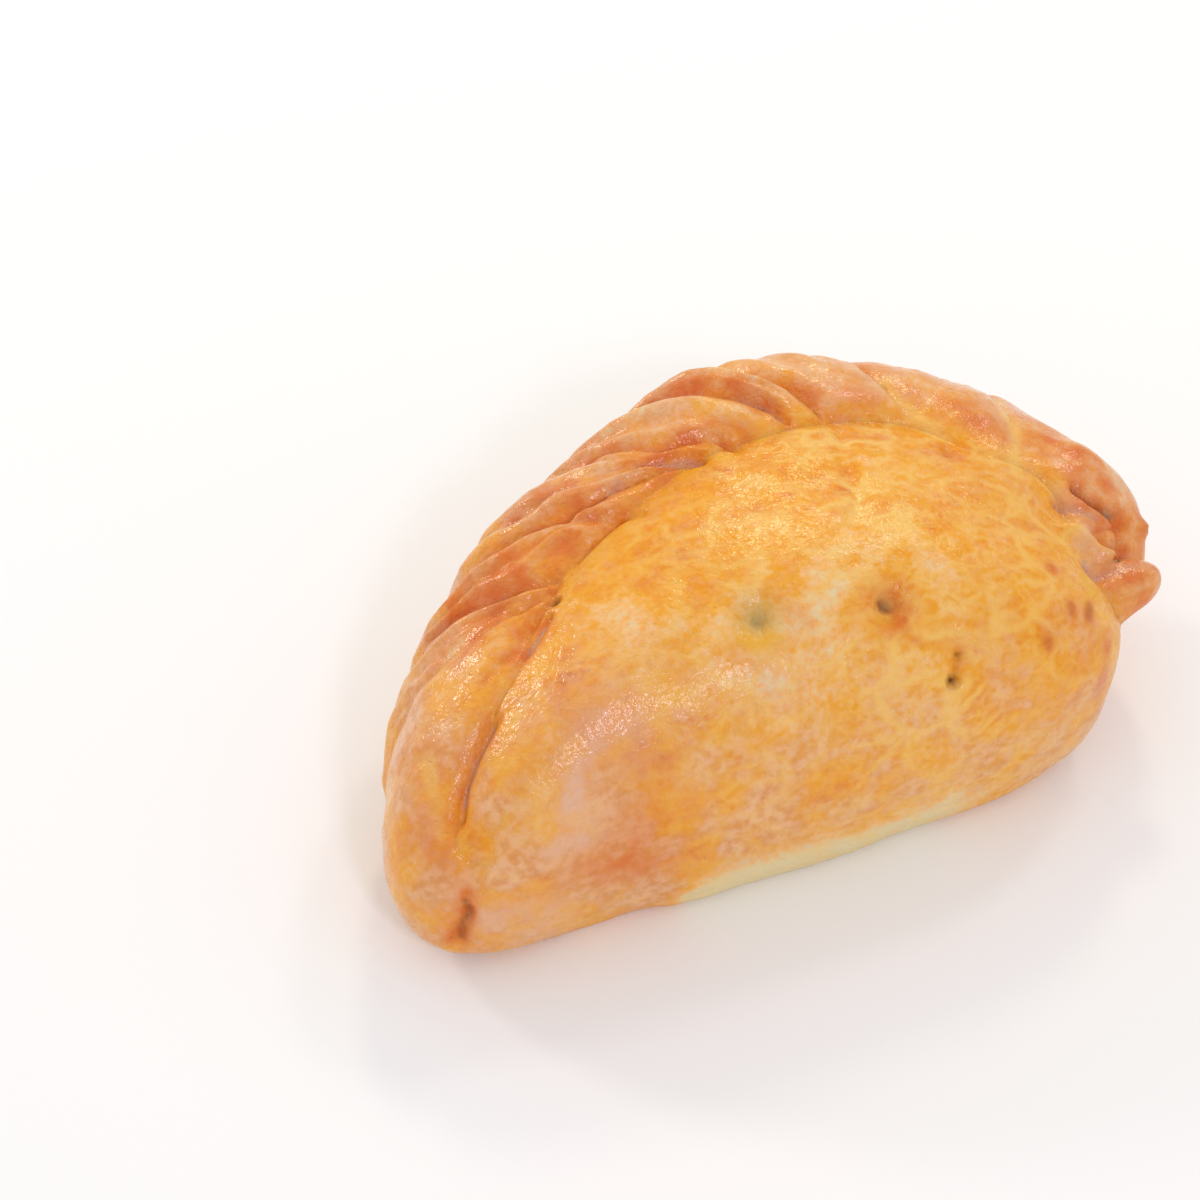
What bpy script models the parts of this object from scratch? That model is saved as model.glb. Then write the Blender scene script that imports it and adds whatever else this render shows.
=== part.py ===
"""A baked chicken empanada: a half-moon of pastry, folded over its filling and crimped shut.

Metres, +Z up.  The pastry rests on its flat underside at z = 0.  Its length runs along X, the
folded side faces -Y, and the crimped rim stands up at the back, +Y, like a twisted rope.

The whole pastry is one closed skin: every vertex of a UV sphere is carried to its place on it.
A place on the pastry is named by two angles in degrees:

    longitude   direction seen from above, -90 to 270: 0 is +X, 90 the back, 180 is -X
    tilt        way down from the top of the mound: 0 the top, 90 the widest line,
                180 where the pastry meets the table, 270 the middle of the underside
"""

import bmesh
import bpy
import numpy as np

MM = 0.001

# Outline seen from above: a D whose straight side is the fold
MIDDLE = (2.0 * MM, 20.4 * MM)
REACH_RIGHT = 57.0 * MM
REACH_LEFT = 58.0 * MM
REACH_BACK = 49.5 * MM
REACH_FRONT = 19.0 * MM
FULLNESS_BACK_RIGHT = 2.3
FULLNESS_BACK_LEFT = 1.8
FULLNESS_FRONT = 3.0
BACK_DRIFT = 0.19
SWELLINGS = (
    # Longitude, spread and height; a negative height is a dip
    (197.5, 9.5, 6.5 * MM),
    (206.0, 7.0, -3.0 * MM),
    (20.0, 14.0, 8.0 * MM),
    (-20.0, 8.0, 1.8 * MM),
)

# The mound over the filling
TOP_HEIGHT = 49.0 * MM
TOP_PLACE = (4.5 * MM, 29.0 * MM)
MOUND_FULLNESS = 0.95
MOUND_ROUND = (50.0 * MM, 30.0 * MM)
WAIST_RIGHT = 21.0 * MM
WAIST_BACK = 35.0 * MM
WAIST_LEFT = 14.5 * MM
WAIST_FRONT = 14.5 * MM
UNDERCUT_RIGHT = 0.20
UNDERCUT_REST = 0.15
UNDERCUT_FULLNESS = 0.8

# The crimped rim, between its crease on the mound and its hem below
CREASE_TILT = (61.5, 38.0, 45.5, 88.0)
CREASE_DIPS = ((5.7, 133.0, 30.0), (13.5, 25.0, 13.0))
CREASE_DROP = 23.0
HEM_TILT = (119.0, 110.0, 142.0, 160.0)
CRIMP_THICKNESS = (6.5 * MM, 7.5 * MM, 6.8 * MM, 5.0 * MM)
CRIMP_THINNED = (
    # Longitude, spread, and how much thinner the crimp is there; a negative amount is thicker
    (24.0, 7.5, 3.2 * MM),
    (36.0, 6.0, -1.0 * MM),
    (115.0, 16.0, 2.2 * MM),
    (178.0, 8.0, 1.1 * MM),
    (9.0, 4.0, -1.6 * MM),
)
CRIMP_ROUNDNESS = 0.6
CRIMP_LEAN = 15.0
CRIMP_RIGHT_END = 7.0
CRIMP_LEFT_END = 203.0
CRIMP_RIGHT_END_LENGTH = 4.5
CRIMP_LEFT_END_LENGTH = 16.0

# The folds of the crimp: where the groove after each fold starts at the crease
GROOVE_LONGITUDES = (-70.0, 3.0, 23.0, 38.0, 61.0, 73.0, 90.0, 106.0, 137.0, 156.0, 178.0, 189.0, 215.0)
GROOVE_TWIST = (50.0, 74.0, 32.0, 30.0)
FOLD_ROUNDNESS = 0.8
GROOVE_CUT_AT_CREASE = 0.7
GROOVE_CUT_AT_HEM = 0.25

# The pinched knob at the right end
KNOB_PLACE = (-3.5, 75.0)
KNOB_RADIUS = 7.0 * MM
KNOB_REACH = 9.0 * MM
KNOB_WAY = (1.0, 0.0, 0.5)

# Dents: longitude and tilt of both ends, half-width and depth
STEAM_VENTS = (
    ((242.0, 24.0), (242.0, 24.0), 3.9 * MM, 2.4 * MM),
    ((-43.6, 32.8), (-43.6, 32.8), 3.2 * MM, 2.2 * MM),
)
CRIMP_DENTS = (
    ((195.0, 80.0), (194.3, 108.0), 2.2 * MM, 1.4 * MM),
    ((12.1, 60.3), (9.4, 74.7), 2.0 * MM, 1.8 * MM),
    ((-2.7, 64.4), (-4.8, 65.8), 2.0 * MM, 1.2 * MM),
)

# Mesh resolution
COLUMNS = 138
MOUND_ROWS = 13
CRIMP_ROWS = 22
UNDER_ROWS = 5
BASE_ROWS = 2
CRIMP_ROW_CROWDING = 1.3
CRIMPED_RANGE = (-30.0, -12.0, 198.0, 220.0)
FRONT_SPARING = 0.5

CRUST_COLOUR = (0.68, 0.33, 0.09, 1.0)
CRUST_ROUGHNESS = 0.42


def ease(low, high, value):
    """Rise smoothly from 0 at low to 1 at high."""
    share = np.clip((value - low) / (high - low), 0.0, 1.0)
    return share * share * (3.0 - 2.0 * share)


def swell(value, middle, spread):
    """A bell-shaped rise to 1 at the middle."""
    return np.exp(-(((value - middle) / spread) ** 2))


def round_end(share):
    """Rise from 0 to 1 along a quarter circle."""
    return np.sqrt(1.0 - (1.0 - np.clip(share, 0.0, 1.0)) ** 2)


def around(longitude, right, back, left, front):
    """Blend four values, one for each side, by the squared cosine and sine of the longitude."""
    along = np.cos(np.radians(longitude))
    across = np.sin(np.radians(longitude))
    ends = np.where(along > 0.0, right, left)
    sides = np.where(across > 0.0, back, front)
    return ends * along**2 + sides * across**2


def outline(longitude):
    """The widest line seen from above: a superellipse, fuller or flatter in each quarter."""
    along = np.cos(np.radians(longitude))
    across = np.sin(np.radians(longitude))
    reach_x = np.where(along > 0.0, REACH_RIGHT, REACH_LEFT)
    reach_y = np.where(across > 0.0, REACH_BACK, REACH_FRONT)
    back = np.where(along > 0.0, FULLNESS_BACK_RIGHT, FULLNESS_BACK_LEFT)
    power = np.where(across > 0.0, back, FULLNESS_FRONT)
    reach = (np.abs(along / reach_x) ** power + np.abs(across / reach_y) ** power) ** (-1.0 / power)
    for middle, spread, extra in SWELLINGS:
        reach = reach + extra * swell(longitude, middle, spread)
    x = MIDDLE[0] + reach * along + BACK_DRIFT * np.maximum(reach * across, 0.0)
    y = MIDDLE[1] + reach * across
    return x, y


def body(longitude, tilt):
    """The plain pastry: quarter ellipses up to the top and down to the table, then a flat base."""
    x, y = outline(longitude)
    waist = around(longitude, WAIST_RIGHT, WAIST_BACK, WAIST_LEFT, WAIST_FRONT)
    undercut = around(longitude, UNDERCUT_RIGHT, UNDERCUT_REST, UNDERCUT_REST, UNDERCUT_REST)
    angle = np.radians(np.minimum(tilt, 180.0))
    level, rise = np.abs(np.sin(angle)), np.cos(angle)
    above = rise > 0.0
    spread = np.where(above, level**MOUND_FULLNESS, 1.0 - undercut * (1.0 - level))
    spread = spread * np.clip((270.0 - tilt) / 90.0, 0.0, 1.0)
    height_above = waist + (TOP_HEIGHT - waist) * rise
    height_below = waist * (1.0 - np.abs(rise) ** UNDERCUT_FULLNESS)
    height = np.where(above, height_above, height_below)
    roundness = np.where(above, (1.0 - spread) ** 1.5, 0.0)
    across_x = (x - TOP_PLACE[0]) * (1.0 - roundness)
    across_y = (y - TOP_PLACE[1]) * (1.0 - roundness)
    across_x = across_x + roundness * MOUND_ROUND[0] * np.cos(np.radians(longitude))
    across_y = across_y + roundness * MOUND_ROUND[1] * np.sin(np.radians(longitude))
    return np.stack([TOP_PLACE[0] + spread * across_x, TOP_PLACE[1] + spread * across_y, height], axis=-1)


def unit(vectors):
    """Vectors scaled to length 1."""
    return vectors / np.maximum(np.linalg.norm(vectors, axis=-1, keepdims=True), 1e-12)


def outward_and_upward(longitude, tilt):
    """The body's outward normal, and the direction up its slope, from small steps both ways."""
    step = 0.05
    inside = np.clip(tilt, 1.0, 179.0)
    down = body(longitude, inside + step) - body(longitude, inside - step)
    sideways = body(longitude + step, inside) - body(longitude - step, inside)
    return unit(np.cross(down, sideways)), -unit(down)


def crimp_limits(longitude):
    """Tilt of the crease where the crimp leaves the mound, and of the hem under it."""
    crease = around(longitude, *CREASE_TILT)
    for depth, middle, spread in CREASE_DIPS:
        crease = crease - depth * swell(longitude, middle, spread)
    tail = ease(176.0, 196.0, longitude) * (1.0 - ease(205.0, 250.0, longitude))
    return crease + CREASE_DROP * tail, around(longitude, *HEM_TILT)


def groove_depth(longitude, across):
    """1 in the grooves between the folds and 0 on their backs; the grooves twist like a rope."""
    twist = around(longitude, *GROOVE_TWIST)
    fold_longitude = longitude - twist * np.minimum(across, 0.6)
    count = np.arange(len(GROOVE_LONGITUDES))
    share = np.interp(fold_longitude, GROOVE_LONGITUDES, count) % 1.0
    return 1.0 - (4.0 * share * (1.0 - share)) ** FOLD_ROUNDNESS


def crimp_lift(longitude, tilt):
    """How far the crimp stands off the body: a half ellipse across it, cut by the grooves."""
    crease, hem = crimp_limits(longitude)
    across = np.clip((tilt - crease) / (hem - crease), 0.0, 1.0)
    thickness = around(longitude, *CRIMP_THICKNESS)
    for middle, spread, less in CRIMP_THINNED:
        thickness = thickness - less * swell(longitude, middle, spread)
    from_right = round_end((longitude - CRIMP_RIGHT_END) / CRIMP_RIGHT_END_LENGTH)
    from_left = ease(0.0, CRIMP_LEFT_END_LENGTH, CRIMP_LEFT_END - longitude)
    profile = (4.0 * across * (1.0 - across)) ** CRIMP_ROUNDNESS
    fade = ease(0.0, 0.6, across)
    cut = GROOVE_CUT_AT_CREASE + (GROOVE_CUT_AT_HEM - GROOVE_CUT_AT_CREASE) * fade
    cut = cut * groove_depth(longitude, across)
    return thickness * from_right * from_left * profile * (1.0 - cut)


def distance_to_line(points, start, end):
    """Distance of each point from the straight line between two named places on the body."""
    first = body(*np.array(start, dtype=float))
    span = body(*np.array(end, dtype=float)) - first
    length = max(float(span @ span), 1e-12)
    share = np.clip((points - first) @ span / length, 0.0, 1.0)
    return np.linalg.norm(points - first - share[..., None] * span, axis=-1)


def pastry_surface(longitude, tilt):
    """Finished surface: body, crimp, end knob and dents, with a base left flat."""
    points = body(longitude, tilt)
    outward, upward = outward_and_upward(longitude, tilt)
    lift = crimp_lift(longitude, tilt)
    lean = np.radians(CRIMP_LEAN)
    crimp_way = outward * np.cos(lean) + upward * np.sin(lean)

    knob_share = distance_to_line(points, KNOB_PLACE, KNOB_PLACE) / KNOB_RADIUS
    knob = KNOB_REACH * np.clip(1.0 - knob_share**2, 0.0, 1.0)

    dents = np.zeros_like(lift)
    for start, end, half_width, depth in STEAM_VENTS + CRIMP_DENTS:
        distance = distance_to_line(points, start, end)
        dents = dents + depth * np.exp(-((distance / half_width) ** 2))

    off_the_table = 1.0 - ease(150.0, 176.0, tilt)
    moved = points + (lift * off_the_table)[..., None] * crimp_way
    moved = moved + knob[..., None] * unit(np.array(KNOB_WAY))
    return moved - (dents * off_the_table)[..., None] * outward


def even_longitudes(share):
    """Longitudes that cut the outline into even stretches, longer ones along the plain front."""
    fine = np.linspace(-90.0, 270.0, 1441)
    x, y = outline(fine)
    start, full, fading, stop = CRIMPED_RANGE
    crimped = ease(start, full, fine) * (1.0 - ease(fading, stop, fine))
    weight = 1.0 - FRONT_SPARING * (1.0 - crimped[1:])
    travelled = np.concatenate([[0.0], np.cumsum(weight * np.hypot(np.diff(x), np.diff(y)))])
    return np.interp(share * travelled[-1], travelled, fine)


def row_tilts(row, longitude):
    """Tilt of each mesh row: mound rows, then closer rows on the crimp, underside and base."""
    crease, hem = crimp_limits(longitude)
    mound_end = MOUND_ROWS
    crimp_end = mound_end + CRIMP_ROWS
    under_end = crimp_end + UNDER_ROWS
    mound = crease * row / mound_end
    across = np.clip((row - mound_end) / CRIMP_ROWS, 0.0, 1.0) ** CRIMP_ROW_CROWDING
    crimp = crease + (hem - crease) * across
    under = hem + (180.0 - hem) * (row - crimp_end) / UNDER_ROWS
    base = 180.0 + 90.0 * (row - under_end) / BASE_ROWS
    lower = np.where(row <= under_end, under, base)
    return np.where(row <= mound_end, mound, np.where(row <= crimp_end, crimp, lower))


def make_crust_material():
    """Golden crust with the dull shine of egg wash."""
    material = bpy.data.materials.new("baked_crust")
    material.use_nodes = True
    shader = material.node_tree.nodes["Principled BSDF"]
    shader.inputs["Base Color"].default_value = CRUST_COLOUR
    shader.inputs["Roughness"].default_value = CRUST_ROUGHNESS
    shader.inputs["Metallic"].default_value = 0.0
    material.diffuse_color = CRUST_COLOUR
    return material


def make_sphere_mesh(rows):
    """A UV sphere whose quads are all cut along the diagonal that the grooves follow."""
    mesh = bpy.data.meshes.new("pastry")
    sphere = bmesh.new()
    bmesh.ops.create_uvsphere(sphere, u_segments=COLUMNS, v_segments=rows, radius=1.0)
    bmesh.ops.triangulate(sphere, faces=sphere.faces, quad_method="FIXED")
    sphere.to_mesh(mesh)
    sphere.free()
    return mesh


def make_pastry(collection):
    """Carry the vertices of a UV sphere to the pastry's surface, centred over the origin."""
    rows = MOUND_ROWS + CRIMP_ROWS + UNDER_ROWS + BASE_ROWS
    mesh = make_sphere_mesh(rows)
    flat = np.empty(len(mesh.vertices) * 3)
    mesh.vertices.foreach_get("co", flat)
    x, y, z = flat.reshape(-1, 3).T
    turn = (np.degrees(np.arctan2(y, x)) + 90.0) % 360.0
    row = np.degrees(np.arccos(np.clip(z, -1.0, 1.0))) / 180.0 * rows
    longitude = even_longitudes(turn / 360.0)
    tilt = row_tilts(np.round(row), longitude)
    places = pastry_surface(longitude, tilt)

    middle = (places.max(axis=0) + places.min(axis=0)) / 2.0
    places[:, :2] -= middle[:2]
    mesh.vertices.foreach_set("co", places.ravel())
    mesh.materials.append(make_crust_material())
    mesh.shade_smooth()
    mesh.update()

    pastry = bpy.data.objects.new("pastry", mesh)
    collection.objects.link(pastry)
    return pastry


def main():
    """Clear the scene and build the empanada in a collection of its own."""
    for old in list(bpy.data.objects):
        bpy.data.objects.remove(old, do_unlink=True)
    collection = bpy.data.collections.new("chicken_empanada")
    bpy.context.scene.collection.children.link(collection)
    pastry = make_pastry(collection)
    size = [round(value / MM, 1) for value in pastry.dimensions]
    print("pastry", size, "mm,", len(pastry.data.polygons), "triangles")


main()
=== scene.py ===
# %% [markdown]
# # A baked empanada
#
# A disc of dough is folded over a filling, its edge is rolled into a rope by folding it over on
# itself again and again, and the whole is brushed with egg and baked.  Everything that shows is
# one continuous skin of crust, so the model is one closed surface as well.
#
# The lesson goes through it in the order a baker would: the plain folded shape, the roped rim,
# the small accidents of the dough, the way the oven coloured it, and last the light on the egg
# wash.  Shapes are numpy arrays over a grid of two angles; finishes are shader nodes.

import bpy
import numpy as np
from mathutils import Matrix


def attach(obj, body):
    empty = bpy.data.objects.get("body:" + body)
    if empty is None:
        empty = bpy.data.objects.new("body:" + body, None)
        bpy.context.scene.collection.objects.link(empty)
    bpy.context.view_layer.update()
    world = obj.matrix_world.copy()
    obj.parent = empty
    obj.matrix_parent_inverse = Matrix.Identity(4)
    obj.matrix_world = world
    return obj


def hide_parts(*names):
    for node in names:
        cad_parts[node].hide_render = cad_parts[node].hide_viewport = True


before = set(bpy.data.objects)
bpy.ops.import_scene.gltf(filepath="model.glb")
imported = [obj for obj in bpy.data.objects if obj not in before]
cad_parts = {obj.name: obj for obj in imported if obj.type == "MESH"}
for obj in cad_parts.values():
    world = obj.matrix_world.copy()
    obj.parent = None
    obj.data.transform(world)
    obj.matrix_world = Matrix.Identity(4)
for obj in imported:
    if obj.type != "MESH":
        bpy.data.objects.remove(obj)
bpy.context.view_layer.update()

MM = 0.001

# %% [markdown]
# ## Where the picture is taken from
#
# Food is usually shot from a little above, with a long lens that keeps its shape honest.  The
# camera is placed by two angles and a distance from a point on the table, because those are the
# numbers that a photographer would name.  Its three axes are worked out from the angles, so the
# horizon stays level.

# %% Camera
AZIMUTH = np.radians(-21.1)
ELEVATION = np.radians(46.4)
DISTANCE = 0.4846
AIM = np.array([-0.01296, 0.03191, 0.0])
LENS = 85.0
SENSOR = 36.0


def camera_axes(azimuth, elevation):
    """Right, up and backward directions of a level camera that looks at the object."""
    flat, rise = np.cos(elevation), np.sin(elevation)
    backward = np.array([np.sin(azimuth) * flat, -np.cos(azimuth) * flat, rise])
    right = np.array([np.cos(azimuth), np.sin(azimuth), 0.0])
    return right, np.cross(backward, right), backward


def stand_off(aim, azimuth, elevation, distance):
    """The place and turn of something that looks at `aim` from two angles and a distance."""
    axes = camera_axes(azimuth, elevation)
    place = np.eye(4)
    place[:3, :3] = np.stack(axes, axis=1)
    place[:3, 3] = aim + distance * axes[2]
    return Matrix(place.tolist())


def add_object(name, data):
    """An object that shows this data, linked to the scene."""
    made = bpy.data.objects.new(name, data)
    bpy.context.scene.collection.objects.link(made)
    return made


def make_camera():
    """A long-lens camera, aimed at a point on the table."""
    camera = add_object("camera", bpy.data.cameras.new("camera"))
    camera.matrix_world = stand_off(AIM, AZIMUTH, ELEVATION, DISTANCE)
    camera.data.lens = LENS
    camera.data.sensor_width = SENSOR
    bpy.context.scene.camera = camera
    return camera


camera = make_camera()
print("camera at", [round(value, 3) for value in camera.location])

# %% [markdown]
# ## Small tools for shaping
#
# Dough has no straight lines and no sharp steps, so almost every shape below is a blend.  `ease`
# fades one thing into another, `within` fades it out again, `swell` and `hump` make bumps, and
# `round_end` closes a roll with a quarter circle.  `around` gives each side of the pastry its own
# value and blends in between.

# %% Blends
TINY = 1e-12


def ease(low, high, value):
    """Rise smoothly from 0 at low to 1 at high: 3t^2 - 2t^3."""
    share = np.clip((value - low) / (high - low), 0.0, 1.0)
    return share * share * (3.0 - 2.0 * share)


def within(limits, value):
    """0 up to the first limit, 1 between the second and third, 0 from the fourth on."""
    start, full, fading, stop = limits
    return ease(start, full, value) * (1.0 - ease(fading, stop, value))


def swell(value, middle, spread):
    """A bell of height 1: e to the minus squared distance over spread."""
    return np.exp(-(((value - middle) / spread) ** 2))


def hump(share):
    """0 at both ends and 1 in the middle: the parabola 4s(1 - s)."""
    return 4.0 * share * (1.0 - share)


def round_end(share):
    """Rise from 0 to 1 along a quarter circle."""
    return np.sqrt(1.0 - (1.0 - np.clip(share, 0.0, 1.0)) ** 2)


def around(longitude, right, back, left, front):
    """Each side's value, weighted by the squared cosine and sine of the longitude."""
    along = np.cos(np.radians(longitude))
    across = np.sin(np.radians(longitude))
    ends = np.where(along > 0.0, right, left)
    sides = np.where(across > 0.0, back, front)
    return ends * along**2 + sides * across**2


def unit(vectors):
    """Vectors scaled to length 1."""
    return vectors / np.maximum(np.linalg.norm(vectors, axis=-1, keepdims=True), TINY)


print("a blend from 0 to 1:", ease(0.0, 1.0, np.linspace(0.0, 1.0, 5)).round(2))

# %% [markdown]
# ## The folded shape
#
# The plain pastry is a mound over the filling.  Seen from above it is a D, straight at the fold
# and round where the edges meet.  A superellipse with its own reach and fullness in each quarter
# draws that outline, and quarter ellipses carry it up to the top and down to the table.  It could
# be sculpted by hand, but then no number would say how wide or how full it is, and a shape that
# has to fit a solid is easier to correct one number at a time.
#
# Every spot on the pastry gets two angles in degrees.  Its longitude is the direction seen from
# above: 0 on the right, 90 at the back, 180 on the left, and 270 or -90 in front.  Its tilt is
# the way down from the top of the mound: 0 at the top, 90 on the widest line, 180 where the crust
# meets the table, and 270 in the middle of the underside.

# %% The outline from above
# Longitudes run once round, from the front to the front
ROUND = (-90.0, 270.0)
MIDDLE = (2.0 * MM, 20.4 * MM)
REACH_RIGHT = 57.0 * MM
REACH_LEFT = 58.0 * MM
REACH_BACK = 49.5 * MM
REACH_FRONT = 19.0 * MM
FULLNESS_BACK_RIGHT = 2.3
FULLNESS_BACK_LEFT = 1.8
FULLNESS_FRONT = 3.0
BACK_DRIFT = 0.19
BULGES = (
    # Longitude, spread and height of each swelling of the outline; a negative height is a dip
    (197.5, 9.5, 6.5 * MM),
    (206.0, 7.0, -3.0 * MM),
    (20.0, 14.0, 8.0 * MM),
    (-20.0, 8.0, 1.8 * MM),
)


def outline(longitude):
    """The widest line: a superellipse with its own reach and power in each quarter."""
    along = np.cos(np.radians(longitude))
    across = np.sin(np.radians(longitude))
    reach_x = np.where(along > 0.0, REACH_RIGHT, REACH_LEFT)
    reach_y = np.where(across > 0.0, REACH_BACK, REACH_FRONT)
    back = np.where(along > 0.0, FULLNESS_BACK_RIGHT, FULLNESS_BACK_LEFT)
    power = np.where(across > 0.0, back, FULLNESS_FRONT)
    fullness = np.abs(along / reach_x) ** power + np.abs(across / reach_y) ** power
    reach = fullness ** (-1.0 / power)
    for middle, spread, extra in BULGES:
        reach = reach + extra * swell(longitude, middle, spread)
    x = MIDDLE[0] + reach * along + BACK_DRIFT * np.maximum(reach * across, 0.0)
    return x, MIDDLE[1] + reach * across


left_end, right_end = (outline(side)[0] / MM for side in (180.0, 0.0))
print("mound, mm: from", left_end.round(1), "to", right_end.round(1))

# %% The mound over the filling
AT_WIDEST = 90.0
AT_TABLE = 180.0
AT_UNDERSIDE = 270.0
TOP_HEIGHT = 49.0 * MM
TOP_PLACE = (4.5 * MM, 29.0 * MM)
MOUND_FULLNESS = 0.95
MOUND_ROUND = (50.0 * MM, 30.0 * MM)
MOUND_ROUND_POWER = 1.5
WAIST = (21.0 * MM, 35.0 * MM, 14.5 * MM, 14.5 * MM)
UNDERCUT = (0.20, 0.15, 0.15, 0.15)
UNDERCUT_FULLNESS = 0.8
CENTRE_SHIFT = np.array([5.352 * MM, 38.393 * MM, 0.0])
STEP = 0.05


def body(longitude, tilt):
    """Quarter ellipses from the outline up to the top and down to the table, then flat."""
    x, y = outline(longitude)
    waist = around(longitude, *WAIST)
    angle = np.radians(np.minimum(tilt, AT_TABLE))
    level, rise = np.abs(np.sin(angle)), np.cos(angle)
    above = rise > 0.0
    below_spread = 1.0 - around(longitude, *UNDERCUT) * (1.0 - level)
    spread = np.where(above, level**MOUND_FULLNESS, below_spread)
    spread = spread * np.clip((AT_UNDERSIDE - tilt) / (AT_UNDERSIDE - AT_TABLE), 0.0, 1.0)
    height_above = waist + (TOP_HEIGHT - waist) * rise
    height_below = waist * (1.0 - np.abs(rise) ** UNDERCUT_FULLNESS)
    roundness = np.where(above, (1.0 - spread) ** MOUND_ROUND_POWER, 0.0)
    out_x = (x - TOP_PLACE[0]) * (1.0 - roundness)
    out_y = (y - TOP_PLACE[1]) * (1.0 - roundness)
    out_x = out_x + roundness * MOUND_ROUND[0] * np.cos(np.radians(longitude))
    out_y = out_y + roundness * MOUND_ROUND[1] * np.sin(np.radians(longitude))
    height = np.where(above, height_above, height_below)
    x, y = TOP_PLACE[0] + spread * out_x, TOP_PLACE[1] + spread * out_y
    return np.stack([x, y, height], axis=-1) - CENTRE_SHIFT


def outward_and_upward(longitude, tilt):
    """The body's outward normal and its upslope direction, from small steps both ways."""
    inside = np.clip(tilt, 1.0, AT_TABLE - 1.0)
    down = body(longitude, inside + STEP) - body(longitude, inside - STEP)
    sideways = body(longitude + STEP, inside) - body(longitude - STEP, inside)
    return unit(np.cross(down, sideways)), -unit(down)


for name, tilt in (("top", 0.0), ("widest line", AT_WIDEST), ("table", AT_TABLE)):
    print(f"right-hand side at the {name}, mm:", (body(0.0, tilt) / MM).round(1))

# %% [markdown]
# ## The roped rim
#
# The edge was sealed by folding a thumb's width of dough over, again and again, so each fold
# lies half on the last one and the rim looks like a rope.  The rim is a rounded roll between a
# crease on the mound and a hem below.  Grooves cut it into folds of uneven width, and each
# groove runs askew by a twist that is stronger at the back, where the folds are long and thin.
# Thin folds have finer ridges of their own, where the dough was stretched.  Separate folds laid
# side by side would be simpler, but on the real rim they have all run into one skin.

# %% Crease and hem
CREASE_TILT = (61.5, 38.0, 45.5, 88.0)
CREASE_DIPS = ((5.7, 133.0, 30.0), (13.5, 25.0, 13.0))
CREASE_DROP = 27.0
CREASE_DROP_RANGE = (174.0, 195.0, 205.0, 250.0)
HEM_TILT = (119.0, 110.0, 142.0, 160.0)


def crimp_limits(longitude):
    """Tilt of the crease on the mound and of the hem below the rope."""
    crease = around(longitude, *CREASE_TILT)
    for depth, middle, spread in CREASE_DIPS:
        crease = crease - depth * swell(longitude, middle, spread)
    crease = crease + CREASE_DROP * within(CREASE_DROP_RANGE, longitude)
    return crease, around(longitude, *HEM_TILT)


def across_crimp(longitude, tilt):
    """0 at the crease, 1 at the hem; below 0 on the mound."""
    crease, hem = crimp_limits(longitude)
    return (tilt - crease) / (hem - crease)


print("crease to hem at the back, degrees of tilt:", np.round(crimp_limits(90.0), 1))

# %% Folds and the strands in them
GROOVE_STEPS = (0.0, 0.12, 0.3, 0.6, 1.0)
GROOVES = (
    # Longitude of each groove at those steps, from the crease (0) to the hem (1), and its depth
    (-60.0, -60.0, -60.0, -60.0, -60.0, 1.0),
    (4.0, 6.0, 8.0, 14.0, 20.0, 0.8),
    (17.0, 24.0, 33.0, 45.0, 52.0, 0.45),
    (43.4, 50.2, 58.0, 68.0, 76.0, 0.7),
    (62.7, 69.2, 79.0, 92.0, 100.0, 1.0),
    (71.3, 78.5, 92.3, 108.0, 116.0, 1.0),
    (90.0, 108.0, 117.0, 130.0, 138.0, 1.0),
    (101.0, 134.0, 143.5, 150.0, 156.0, 1.2),
    (153.0, 154.5, 155.5, 160.0, 168.0, 0.7),
    (158.0, 163.0, 167.0, 174.0, 182.0, 0.5),
    (194.0, 194.0, 194.0, 194.0, 194.0, 0.6),
    (230.0, 230.0, 230.0, 230.0, 230.0, 1.0),
)
GROOVE_WANDER = 1.0
NARROWEST = 0.1
STRAND_RIDGES = 2.6
STRAND_RANGE = (58.0, 90.0, 150.0, 185.0)
STRAND_WOBBLE = 0.22


def fold_place(longitude, across, wobble):
    """Place inside a fold (0 and 1 in its grooves), the fold's width, and the groove's depth."""
    before = np.full(longitude.shape, ROUND[0])
    after = np.full(longitude.shape, ROUND[1])
    depth_before = np.ones(longitude.shape)
    depth_after = np.ones(longitude.shape)
    here = longitude + GROOVE_WANDER * wobble
    here = np.clip(here, ROUND[0] + NARROWEST, ROUND[1] - NARROWEST)
    for *longitudes_of_groove, depth in GROOVES:
        at = np.interp(across, GROOVE_STEPS, longitudes_of_groove)
        nearer = (at <= here) & (at > before)
        before = np.where(nearer, at, before)
        depth_before = np.where(nearer, depth, depth_before)
        nearer = (at > here) & (at < after)
        after = np.where(nearer, at, after)
        depth_after = np.where(nearer, depth, depth_after)
    width = np.maximum(after - before, NARROWEST)
    share = (here - before) / width
    return share, width, depth_before + (depth_after - depth_before) * ease(0.0, 1.0, share)


def strand_wave(longitude, share, wobble):
    """Ridges that run along each stretched fold: a cosine of the share, thrown off by chance."""
    ridges = np.cos(2.0 * np.pi * STRAND_RIDGES * (share + STRAND_WOBBLE * wobble))
    return within(STRAND_RANGE, longitude) * ridges


print(len(GROOVES) - 1, "folds between", len(GROOVES), "grooves")

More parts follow.
